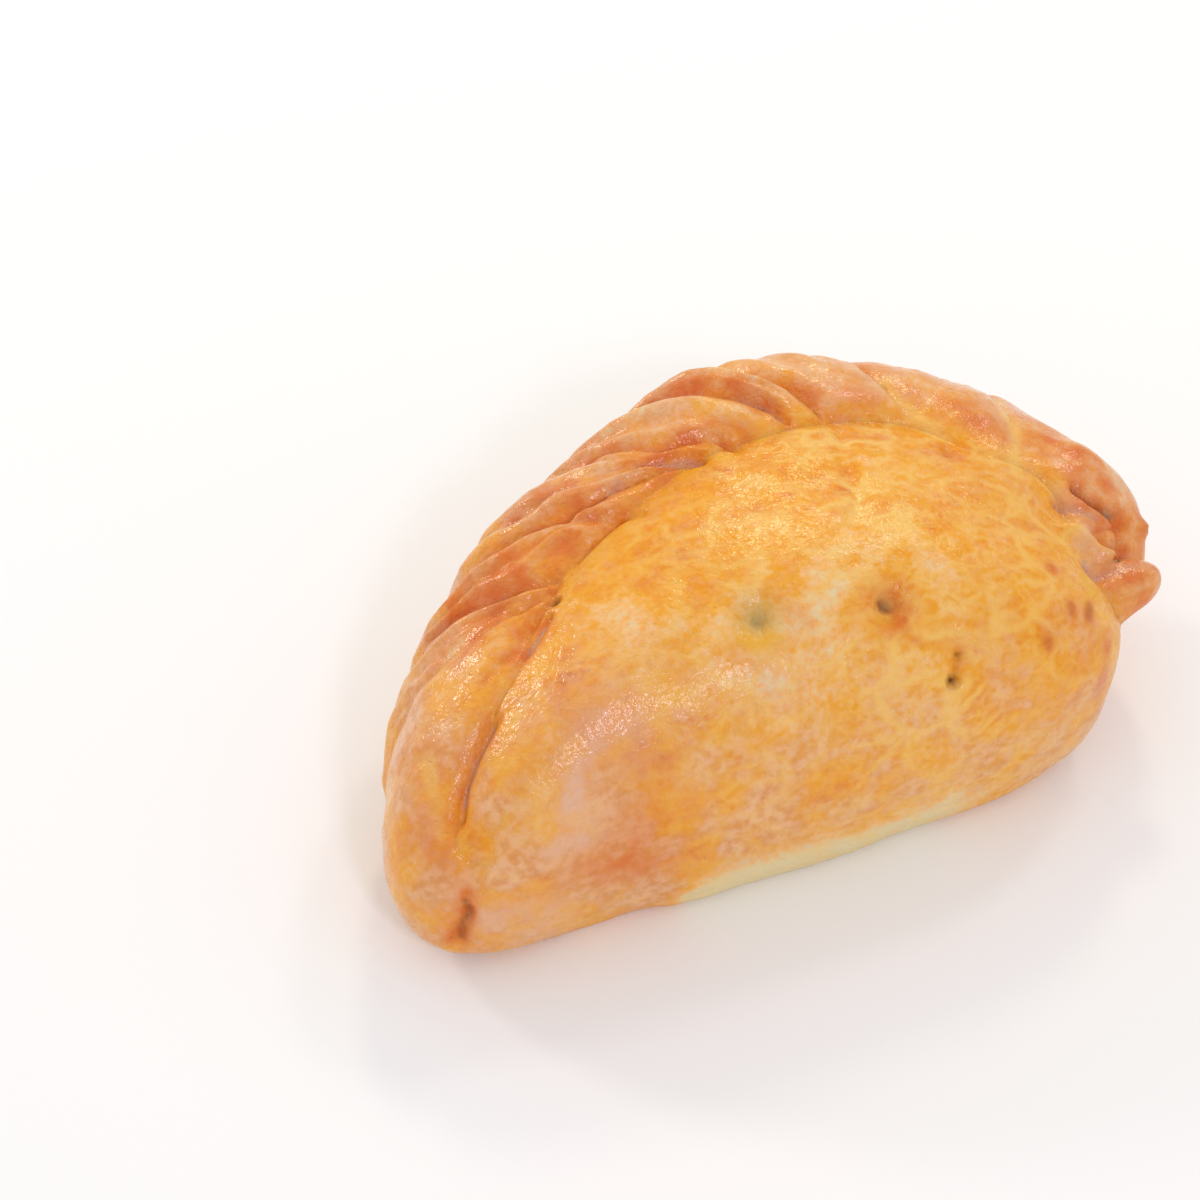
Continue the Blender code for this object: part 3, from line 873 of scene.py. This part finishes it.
def bake_areas(points, hollow, on_rope):
    """Masks that the layers share, from 0 to 1, and two wandering fields, from -1 to 1."""
    left_rope = ease(*LEFT_ROPE, longitudes)
    return {
        "patchy": wander(points, **PATCHY),
        "fine": wander(points, **FINE),
        "left": ease(*LEFT_SIDE, -points[..., 0]),
        "far right": ease(*FAR_RIGHT, points[..., 0]),
        "low": ease(*LOW_DOWN, tilts),
        "rope": on_rope,
        "rope before the left end": on_rope * (1.0 - left_rope),
        "hollow": hollow,
        # Paler dough on the crests, with a painted highlight
        "crest highlight": on_rope * (1.0 - hollow) * (1.0 - FAINTER_CREST_HIGHLIGHT * left_rope),
    }


areas = bake_areas(crust_points, crust_hollow, crust_on_rope)
print("masks:", ", ".join(areas))

# %% Browning, rosiness, and rust with painted shade
# Hollows brown more as painted shade, and crests less as a painted highlight
BROWNING = {"dough": 0.44, "patches": 0.05, "low left": 0.04, "hollows": 0.10, "crest highlights": 0.25}
AMBER_STRENGTH = 0.25
LEAST_BROWNING = (0.19, 0.05)
ROSY_LEFT = (22.0, 76.0)
ROSY_RIGHT = (55.0, 100.0)
ROSINESS = {"left": 0.9, "right": 0.5, "rope": 0.20, "patches": 0.15}
LEFT_TONE_ON_RIGHT = 0.35
# Rust red in the hollows is partly painted shade
RUST_AND_SHADE_IN_HOLLOWS = 0.65
RUST_AND_SHADE_BREAKS = (-0.8, 0.1)
# Painted shade beside each cleft: how much wider than the cleft, and its strength
RED_SHADE_BESIDE_CLEFTS = (2.6, 0.65)
RUST_ON_RIGHT_ROPE = (
    # Longitudes where it begins to fade and is gone, and its strength
    (55.0, 80.0, 0.30),
    (24.0, 50.0, 0.22),
)


def browning_layer(area):
    """Dough, patches, low left side and hollows, less the crests, plus strokes, over a floor."""
    part = BROWNING
    folds = (part["hollows"] * area["hollow"] - part["crest highlights"] * area["crest highlight"]) * area["rope"]
    browning = part["dough"] + part["patches"] * area["patchy"] + folds
    browning = browning + part["low left"] * area["low"] * area["left"]
    browning = browning + AMBER_STRENGTH * stamp(plain, AMBER_STROKES)
    return np.maximum(browning, LEAST_BROWNING[0] + LEAST_BROWNING[1] * area["fine"])


def rosy_layer(area):
    """Rosy tan: more of it further down, further up on the left, and some on the rope."""
    part = ROSINESS
    toned = LEFT_TONE_ON_RIGHT + (1.0 - LEFT_TONE_ON_RIGHT) * area["left"]
    rosy = part["left"] * ease(*ROSY_LEFT, tilts) * toned
    rosy = rosy + part["right"] * ease(*ROSY_RIGHT, tilts) * (1.0 - area["left"])
    rosy = rosy + part["rope"] * area["rope before the left end"]
    return rosy + part["patches"] * area["patchy"] * area["low"]


def rust_and_shade_layer(area):
    """Rust, partly painted shade: in hollows, broken up, by clefts, in strokes, at the right end.
    """
    wider, strength = RED_SHADE_BESIDE_CLEFTS
    beside = [(places, wider * half_width, strength) for places, half_width, depth in CLEFTS]
    rust_and_shade = RUST_AND_SHADE_IN_HOLLOWS * area["hollow"] * ease(*RUST_AND_SHADE_BREAKS, area["fine"])
    rust_and_shade = rust_and_shade + stamp(plain, (*beside, *RUST_AND_SHADE_STROKES, *BLUSH_AND_SHADE_STROKES))
    for fading, gone, strength in RUST_ON_RIGHT_ROPE:
        rust_and_shade = rust_and_shade + strength * area["rope"] * (1.0 - ease(fading, gone, longitudes))
    return rust_and_shade * (1.0 - np.clip(stamp(plain, BARE_STROKES), 0.0, 1.0))


print("rust covers, of the grid:", np.clip(rust_and_shade_layer(areas), 0.0, 1.0).mean().round(3))

# %% Layers of bake, one number a point
VEINING_ON_LEFT = 0.35
VEINING_LESS = {"low": 0.4, "far right": 0.35}
WASH = {"mound": 0.6, "rope": 0.3}
YOLK_COVER = 0.95
SPOTS = {
    "scorch_and_shade": SCORCH_AND_SHADE_STROKES,
    "gap_shade": GAP_SHADE_STROKES,
    "bare": BARE_STROKES,
    "dry": DRY_STROKES,
    "vent_grey": GREY_STROKES,
}


def veining_layer(area):
    """How much the net of pale lines shows: fully on the right of the mound, not on the rope."""
    veining = VEINING_ON_LEFT + (1.0 - VEINING_ON_LEFT) * (1.0 - area["left"])
    veining = (1.0 - area["rope"]) * veining
    for place, less in VEINING_LESS.items():
        veining = veining * (1.0 - less * area[place])
    return veining


def paint_layers(area, strip):
    """Every layer as numbers from 0 to 1; the unbaked strip has none of the oven's colours."""
    wash = WASH["mound"] + WASH["rope"] * area["rope"] + stamp(plain, WASH_STROKES)
    yolk = stamp(plain, YOLK_STROKES) + yolk_line()
    layers = {
        "browning": browning_layer(area) * (1.0 - strip),
        "rosiness": np.clip(rosy_layer(area), 0.0, 1.0) * (1.0 - strip),
        "veining": veining_layer(area),
        "rust_and_shade": np.clip(rust_and_shade_layer(area), 0.0, 1.0),
        "vent_yolk": YOLK_COVER * np.clip(yolk, 0.0, 1.0),
        "wash": np.clip(wash, 0.0, 1.0) * (1.0 - strip),
    }
    for name, strokes in SPOTS.items():
        layers[name] = np.clip(stamp(plain, strokes), 0.0, 1.0)
    return layers


crust_layers = paint_layers(areas, crust_strip)
for name, values in crust_layers.items():
    print(f"{name}: {values.min():.2f} to {values.max():.2f}")

# %% [markdown]
# ## From arrays to a mesh
#
# The grid becomes four-sided faces, and the first and last rows, which lie in one spot each, are
# closed with a single point and a fan of triangles.  The order of the corners makes every face
# look outwards.  Handing whole lists to `from_pydata` is quicker than adding faces one by one.

# %% Build the mesh
def pole_and_grid(values):
    """First pole, the rows between, last pole, as one flat list of points."""
    inner = values[1:-1].reshape(-1, *values.shape[2:])
    return np.concatenate([values[0, :1], inner, values[-1, :1]])


def grid_faces(row_count, column_count):
    """Fans at both poles and four-sided faces between, all turned outwards."""
    index = 1 + np.arange(row_count * column_count).reshape(row_count, column_count)
    beside = np.roll(index, -1, axis=1)
    quads = np.stack([index[:-1], index[1:], beside[1:], beside[:-1]], axis=-1).reshape(-1, 4)
    top = np.stack([np.zeros(column_count, int), index[0], beside[0]], axis=-1)
    last = np.full(column_count, row_count * column_count + 1)
    bottom = np.stack([index[-1], last, beside[-1]], axis=-1)
    return top.tolist() + quads.tolist() + bottom.tolist()


def make_crust():
    """One closed smooth mesh with its layers of bake."""
    mesh = bpy.data.meshes.new("crust")
    mesh.from_pydata(pole_and_grid(crust_points).tolist(), [], grid_faces(ROWS - 1, COLUMNS))
    mesh.shade_smooth()
    for name, values in crust_layers.items():
        layer = mesh.attributes.new(name, "FLOAT", "POINT")
        layer.data.foreach_set("value", pole_and_grid(values).astype(np.float32))
    mesh.update()
    return add_object("crust", mesh)


crust = make_crust()
print("crust:", len(crust.data.vertices), "points,", len(crust.data.polygons), "faces")

# %% [markdown]
# ## Node groups for baked dough
#
# The crust needs the same few effects several times at different sizes, so each is a shader node
# group with named sockets.  `patches` is soft blotching, and `cracked wash` is the net of pale
# lines where the egg film pulled apart.  A painted image could show them too, but it would need
# an unwrapped skin and would blur up close.  The rest is built from a handful of small helpers,
# most of which add one node and give back what comes out of it.

# %% Helpers for node trees
NOISE_MIDDLE = 0.5


def fill_in(tree, node, inputs):
    """Give each input its value, or a link where the value comes out of another node."""
    for name, value in inputs.items():
        if isinstance(value, bpy.types.NodeSocket):
            tree.links.new(value, node.inputs[name])
        else:
            node.inputs[name].default_value = value
    return node.outputs


def add_node(tree, kind, inputs, **settings):
    """The outputs of a new node with these settings, input values and links."""
    node = tree.nodes.new(kind)
    for name, value in settings.items():
        setattr(node, name, value)
    return fill_in(tree, node, inputs)


def calculate(tree, operation, first, second, clamp=False):
    """The result of one operation on two numbers."""
    inputs = {0: first, 1: second}
    return add_node(tree, "ShaderNodeMath", inputs, operation=operation, use_clamp=clamp)[0]


def product(tree, first, second):
    """Two numbers multiplied."""
    return calculate(tree, "MULTIPLY", first, second)


def calculate_vector(tree, operation, first, second):
    """The result of one operation on two vectors."""
    return add_node(tree, "ShaderNodeVectorMath", {0: first, 1: second}, operation=operation)[0]


def scale_vector(tree, vector, factor):
    """A vector multiplied by a number."""
    inputs = {0: vector, "Scale": factor}
    return add_node(tree, "ShaderNodeVectorMath", inputs, operation="SCALE")[0]


def remap(tree, value, low, high, out_low=0.0, out_high=1.0):
    """Smoothly carry low..high to out_low..out_high."""
    limits = {"From Min": low, "From Max": high, "To Min": out_low, "To Max": out_high}
    inputs = {"Value": value, **limits}
    return add_node(tree, "ShaderNodeMapRange", inputs, interpolation_type="SMOOTHSTEP")[0]


def new_group(name, inputs, outputs):
    """An empty shader node group, with what comes into it and what it has to fill in."""
    tree = bpy.data.node_groups.new(name, "ShaderNodeTree")
    for socket, value in inputs.items():
        kind = "NodeSocketVector" if value is None else "NodeSocketFloat"
        made = tree.interface.new_socket(socket, in_out="INPUT", socket_type=kind)
        if value is not None:
            made.default_value = value
    for socket in outputs:
        tree.interface.new_socket(socket, in_out="OUTPUT", socket_type="NodeSocketFloat")
    return tree, tree.nodes.new("NodeGroupInput").outputs, tree.nodes.new("NodeGroupOutput").inputs


print("helpers ready, for", bpy.app.version_string)


# %% Group: soft patches
def make_patches_group():
    """Noise at a given size, with its contrast spread round the middle."""
    sockets = {"Vector": None, "Size": 0.01, "Contrast": 1.0, "Detail": 3.0}
    tree, given, made = new_group("patches", sockets, ["Mask"])
    place = scale_vector(tree, given["Vector"], calculate(tree, "DIVIDE", 1.0, given["Size"]))
    look = {"Vector": place, "Scale": 1.0, "Detail": given["Detail"]}
    noise = add_node(tree, "ShaderNodeTexNoise", look)[0]
    centred = calculate(tree, "SUBTRACT", noise, NOISE_MIDDLE)
    spread = product(tree, centred, given["Contrast"])
    tree.links.new(calculate(tree, "ADD", spread, NOISE_MIDDLE, clamp=True), made["Mask"])
    return tree


patches = make_patches_group()
print(patches.name, "with", len(patches.nodes), "nodes")

# %% Group: the net of pale lines in the wash
WARPING = {"Scale": 1.1, "Detail": 2.0}
BREAKING = {"Scale": 0.9, "Detail": 1.0}
LINES_KEPT = (0.36, 0.58)
CELLS_CHOSEN = (0.35, 0.85)
CELLS_INSIDE = (0.03, 0.22)


def make_cracked_wash_group():
    """Edges of warped cells as broken lines, and some of the cells themselves as patches."""
    sockets = {"Vector": None, "Cell": 0.008, "Line": 0.1, "Warp": 0.8}
    tree, given, made = new_group("cracked wash", sockets, ["Lines", "Patches"])
    place = scale_vector(tree, given["Vector"], calculate(tree, "DIVIDE", 1.0, given["Cell"]))
    noise = add_node(tree, "ShaderNodeTexNoise", {"Vector": place, **WARPING})["Color"]
    centred = calculate_vector(tree, "SUBTRACT", noise, (NOISE_MIDDLE,) * 3)
    warped = calculate_vector(tree, "ADD", place, scale_vector(tree, centred, given["Warp"]))
    cells = {"Vector": warped, "Scale": 1.0}
    edge = add_node(tree, "ShaderNodeTexVoronoi", cells, feature="DISTANCE_TO_EDGE")["Distance"]
    line = remap(tree, edge, 0.0, given["Line"], 1.0, 0.0)
    broken = add_node(tree, "ShaderNodeTexNoise", {"Vector": place, **BREAKING})[0]
    tree.links.new(product(tree, line, remap(tree, broken, *LINES_KEPT)), made["Lines"])
    shade = add_node(tree, "ShaderNodeTexVoronoi", cells, feature="F1")["Color"]
    red = add_node(tree, "ShaderNodeSeparateColor", {"Color": shade})[0]
    chosen = remap(tree, red, *CELLS_CHOSEN)
    tree.links.new(product(tree, remap(tree, edge, *CELLS_INSIDE), chosen), made["Patches"])
    return tree


cracked_wash = make_cracked_wash_group()
print(cracked_wash.name, "with", len(cracked_wash.nodes), "nodes")

# %% [markdown]
# ## The colours of the crust
#
# Browning is one number that a colour ramp turns into cream, straw, gold, amber and chestnut,
# the order in which dough colours in the oven.  Everything else bends that number or lays a
# second colour over it: rosy tan lower down, rust red in the grooves that is partly painted shade,
# scorch and painted shadow in the pits and holes, and painted shade in the gaps.
# The patterns read Object coordinates, so they stay on the dough wherever the piece goes.

# %% Patterns on the dough
PATCHES = {
    # Size in mm, contrast and detail
    "large": (12.0, 2.4, 2.5),
    "middle": (4.0, 2.4, 3.0),
    "small": (1.1, 2.6, 3.0),
    "blotches": (8.0, 3.0, 3.0),
    "freckles": (1.6, 5.0, 2.5),
    "film": (6.0, 2.6, 3.0),
}
NETS = {
    # Size of a cell in mm, width of its lines and how far they are warped, in cells
    "wide": (7.0, 0.18, 1.1),
    "narrow": (3.4, 0.22, 1.3),
}
NET_STRETCH = (0.75, 1.0, 1.0)


def place_patterns(tree, where):
    """Every size of patch, and the lines and cells of both nets, under their names."""
    pattern = {}
    for name, (size, contrast, detail) in PATCHES.items():
        inputs = {"Vector": where, "Size": size * MM, "Contrast": contrast, "Detail": detail}
        pattern[name] = add_node(tree, "ShaderNodeGroup", inputs, node_tree=patches)["Mask"]
    stretched = calculate_vector(tree, "MULTIPLY", where, NET_STRETCH)
    for name, (cell, line, warp) in NETS.items():
        inputs = {"Vector": stretched, "Cell": cell * MM, "Line": line, "Warp": warp}
        net = add_node(tree, "ShaderNodeGroup", inputs, node_tree=cracked_wash)
        pattern[f"{name} lines"] = net["Lines"]
        pattern[f"{name} cells"] = net["Patches"]
    return pattern


print(len(PATCHES), "sizes of patch and", len(NETS), "nets")

# %% Browned dough
BAKE_COLOURS = (
    (0.00, (0.80, 0.66, 0.38)),
    (0.20, (0.91, 0.495, 0.175)),
    (0.38, (0.88, 0.39, 0.020)),
    (0.56, (0.86, 0.325, 0.010)),
    (0.72, (0.80, 0.26, 0.008)),
    (0.86, (0.68, 0.17, 0.008)),
    (1.00, (0.26, 0.05, 0.010)),
)
UNBAKED_STAYS_EVEN = (0.02, 0.16)
MOTTLE = {"large": (-0.10, 0.11), "middle": (-0.10, 0.09), "small": (-0.09, 0.08)}
CELL_MOTTLE = {"wide cells": 0.10, "narrow cells": 0.07}


def layer_value(tree, name):
    """One stored layer of the mesh."""
    return add_node(tree, "ShaderNodeAttribute", {}, attribute_name=name)["Fac"]


def colour_ramp(tree, value, stops):
    """A ramp through the given stops."""
    node = tree.nodes.new("ShaderNodeValToRGB")
    while len(node.color_ramp.elements) < len(stops):
        node.color_ramp.elements.new(1.0)
    for element, (position, colour) in zip(node.color_ramp.elements, stops):
        element.position = position
        element.color = (*colour, 1.0)
    return fill_in(tree, node, {"Fac": value})["Color"]


def browned(tree, pattern):
    """Browning plus the sum of all the mottle, through the ramp; also where there is any bake."""
    bake = layer_value(tree, "browning")
    baked = remap(tree, bake, *UNBAKED_STAYS_EVEN)
    parts = [remap(tree, pattern[name], 0.0, 1.0, *span) for name, span in MOTTLE.items()]
    parts += [product(tree, pattern[name], amount) for name, amount in CELL_MOTTLE.items()]
    mottle = parts[0]
    for part in parts[1:]:
        mottle = calculate(tree, "ADD", mottle, part)
    bake = calculate(tree, "ADD", bake, product(tree, mottle, baked), clamp=True)
    return colour_ramp(tree, bake, BAKE_COLOURS), baked


print("the ramp has", len(BAKE_COLOURS), "colours")

# %% Tan, freckles and the pale net
ROSY_DARK = (0.68, 0.255, 0.060, 1.0)
ROSY_LIGHT = (0.77, 0.385, 0.165, 1.0)
FRECKLE = (0.88, 0.52, 0.30, 1.0)
PALE_LINE = (0.92, 0.56, 0.14, 1.0)
ROSY_BLOTCHES = (0.15, 0.85, 0.15, 1.0)
FRECKLED_BLOTCHES = (0.2, 0.9, 0.12, 0.62)
FRECKLED_TAN = (0.0, 0.6, 0.35, 1.0)
NARROW_NET = 0.6


def lay_over(tree, mask, under, over):
    """Mix a colour over another by a mask; a Mix node has its colours at inputs 6 and 7."""
    return add_node(tree, "ShaderNodeMix", {0: mask, 6: under, 7: over}, data_type="RGBA")[2]


def tanned_and_freckled(tree, pattern, baked, colour):
    """Tan in blotches by the rosy layer, then freckles, thickest where it is blotched and tan."""
    rosiness = layer_value(tree, "rosiness")
    tan = product(tree, rosiness, remap(tree, pattern["blotches"], *ROSY_BLOTCHES))
    colour = lay_over(tree, tan, colour, lay_over(tree, pattern["middle"], ROSY_DARK, ROSY_LIGHT))
    blotched = remap(tree, pattern["blotches"], *FRECKLED_BLOTCHES)
    freckled = product(tree, pattern["freckles"], blotched)
    freckled = product(tree, freckled, remap(tree, rosiness, *FRECKLED_TAN))
    return lay_over(tree, product(tree, freckled, baked), colour, FRECKLE)


def netted(tree, pattern, colour):
    """The wide net and a fainter narrow one, whichever is stronger, times the veining layer."""
    narrow = product(tree, pattern["narrow lines"], NARROW_NET)
    net = calculate(tree, "MAXIMUM", pattern["wide lines"], narrow)
    return lay_over(tree, product(tree, net, layer_value(tree, "veining")), colour, PALE_LINE)


print("freckles cover up to", FRECKLED_BLOTCHES[3], "of the tan")

# %% Spots and lines of their own colours, and of painted shade
DRY = (0.80, 0.47, 0.31, 1.0)
# Rust red, also the colour of the painted shade in grooves, clefts and creases
RUST_AND_SHADE = (0.72, 0.165, 0.018, 1.0)
# Painted shade in gaps and clefts
GAP_SHADE = (0.52, 0.36, 0.32, 1.0)
VENT_GREY = (0.55, 0.41, 0.15, 1.0)
VENT_YOLK = (0.82, 0.42, 0.03, 1.0)
# Near black: scorch, and painted shadow down in holes and creases
SCORCH_AND_SHADE = (0.09, 0.030, 0.012, 1.0)
LAID_OVER = (
    # Layer, its colour, and how the middle patches break it up, where they do
    ("bare", PALE_LINE, None),
    ("dry", DRY, (0.2, 0.8, 0.5, 1.0)),
    ("rust_and_shade", RUST_AND_SHADE, (0.0, 1.0, 0.35, 1.0)),
    ("gap_shade", GAP_SHADE, None),
    ("vent_grey", VENT_GREY, None),
    ("vent_yolk", VENT_YOLK, None),
    ("scorch_and_shade", SCORCH_AND_SHADE, None),
)


def spotted(tree, pattern, colour):
    """Each layer of spots laid over the last in its own colour, and some of them broken up."""
    for layer, own_colour, broken in LAID_OVER:
        mask = layer_value(tree, layer)
        if broken:
            mask = product(tree, mask, remap(tree, pattern["middle"], *broken))
        colour = lay_over(tree, mask, colour, own_colour)
    return colour


print(len(LAID_OVER), "colours laid over the browned dough")

# %% [markdown]
# ## The glaze
#
# Egg wash dries to a thin leathery film with a shine of its own over duller dough.  A clear coat
# on the shader is that film.  Fine noise is its height, and it breaks the reflections of the
# lamps up into many small glints, as on the real crust.

# %% Glaze and crust material
ROUGHNESS = (0.50, 0.34)
WASH_THICKNESS = (0.1, 0.9, 0.6, 1.0)
FILM_NOISE = {"Scale": 1.0, "Detail": 2.0, "Distortion": 0.4}
FILM_SIZE = 1.0 * MM
GRAIN_SIZE = 0.6 * MM
GRAIN_SHARE = 0.4
DOUGH_RELIEF = 0.4 * MM
GLAZE_RELIEF = 0.16 * MM
FINISH = {
    "IOR": 1.47,
    "Specular IOR Level": 0.05,
    "Coat Roughness": 0.16,
    "Subsurface Weight": 0.12,
    "Subsurface Radius": (1.0, 0.45, 0.18),
    "Subsurface Scale": 1.5 * MM,
}


def dried_film(tree, where, size):
    """Noise whose slopes tilt the gloss this way and that."""
    place = scale_vector(tree, where, 1.0 / size)
    return add_node(tree, "ShaderNodeTexNoise", {"Vector": place, **FILM_NOISE})[0]


def relief(tree, height, distance):
    """A bumped normal of full strength."""
    inputs = {"Height": height, "Strength": 1.0, "Distance": distance}
    return add_node(tree, "ShaderNodeBump", inputs)[0]


def new_material(name):
    """A material, its node tree and its shader."""
    material = bpy.data.materials.new(name)
    material.use_nodes = True
    return material, material.node_tree, material.node_tree.nodes["Principled BSDF"]


def make_crust_material():
    """Browned, tanned, freckled, netted and spotted dough under a film of egg wash."""
    material, tree, shader = new_material("baked crust")
    where = add_node(tree, "ShaderNodeTexCoord", {})["Object"]
    pattern = place_patterns(tree, where)
    colour, baked = browned(tree, pattern)
    colour = tanned_and_freckled(tree, pattern, baked, colour)
    colour = spotted(tree, pattern, netted(tree, pattern, colour))
    thickness = remap(tree, pattern["film"], *WASH_THICKNESS)
    grain = product(tree, dried_film(tree, where, GRAIN_SIZE), GRAIN_SHARE)
    height = calculate(tree, "ADD", dried_film(tree, where, FILM_SIZE), grain)
    fill_in(tree, shader, {
        "Base Color": colour,
        "Roughness": remap(tree, pattern["film"], 0.0, 1.0, *ROUGHNESS),
        "Coat Weight": product(tree, layer_value(tree, "wash"), thickness),
        "Normal": relief(tree, height, DOUGH_RELIEF),
        "Coat Normal": relief(tree, height, GLAZE_RELIEF),
        **FINISH,
    })
    return material


crust.data.materials.append(make_crust_material())
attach(crust, "root")
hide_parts("pastry")
print("crust material laid on", crust.name)

# %% [markdown]
# ## Table and light
#
# A pale table throws light back up under the belly, which is why the underside of the crust looks
# warm rather than dark.  Four soft lamps stand round the pastry, and each gives the egg wash one
# patch of glints, because a glint shows where a lamp is.  The bright room fills the rest, so no
# shadow is hard.

# %% Floor
FLOOR_HALF = 1.5
FLOOR_COLOUR = (0.945, 0.95, 0.95, 1.0)
FLOOR_FINISH = {"Base Color": FLOOR_COLOUR, "Roughness": 0.6, "Specular IOR Level": 0.2}


def make_floor():
    """A wide pale plane at table height: four corners half a side away from the middle."""
    mesh = bpy.data.meshes.new("floor")
    turns = ((-1, -1), (1, -1), (1, 1), (-1, 1))
    mesh.from_pydata([(FLOOR_HALF * x, FLOOR_HALF * y, 0.0) for x, y in turns], [], [(0, 1, 2, 3)])
    material, tree, shader = new_material("pale table")
    fill_in(tree, shader, FLOOR_FINISH)
    mesh.materials.append(material)
    return add_object("floor", mesh)


make_floor()
print("floor, m wide:", 2.0 * FLOOR_HALF)

# %% Lamps and the bright room
LAMP_DISTANCE = 0.9
LAMPS = {
    # Azimuth and elevation, width in metres, power in watts, colour
    "light behind, right": (154.0, 43.0, 0.11, 1.0, (1.0, 0.93, 0.66)),
    "light at right": (124.0, 47.0, 0.10, 0.62, (1.0, 0.90, 0.96)),
    "light in front, above": (0.0, 43.0, 0.12, 1.3, (0.86, 0.80, 1.0)),
    "light behind, left": (-143.0, 26.0, 0.12, 1.4, (1.0, 0.89, 0.87)),
}
ROOM_COLOUR = (1.0, 1.0, 0.985, 1.0)
ROOM_STRENGTH = 0.75


def make_lamp(name, azimuth, elevation, width, power, colour):
    """A square area light that faces the pastry from two angles and a distance."""
    lamp = bpy.data.lights.new(name, "AREA")
    lamp.shape = "SQUARE"
    lamp.size = width
    lamp.energy = power
    lamp.color = colour
    angles = np.radians((azimuth, elevation))
    add_object(name, lamp).matrix_world = stand_off(np.zeros(3), *angles, LAMP_DISTANCE)


def make_room():
    """Even pale surroundings."""
    world = bpy.data.worlds.new("bright room")
    world.use_nodes = True
    background = {"Color": ROOM_COLOUR, "Strength": ROOM_STRENGTH}
    fill_in(world.node_tree, world.node_tree.nodes["Background"], background)
    bpy.context.scene.world = world


for name, values in LAMPS.items():
    make_lamp(name, *values)
make_room()
bpy.context.scene.view_settings.view_transform = "Standard"
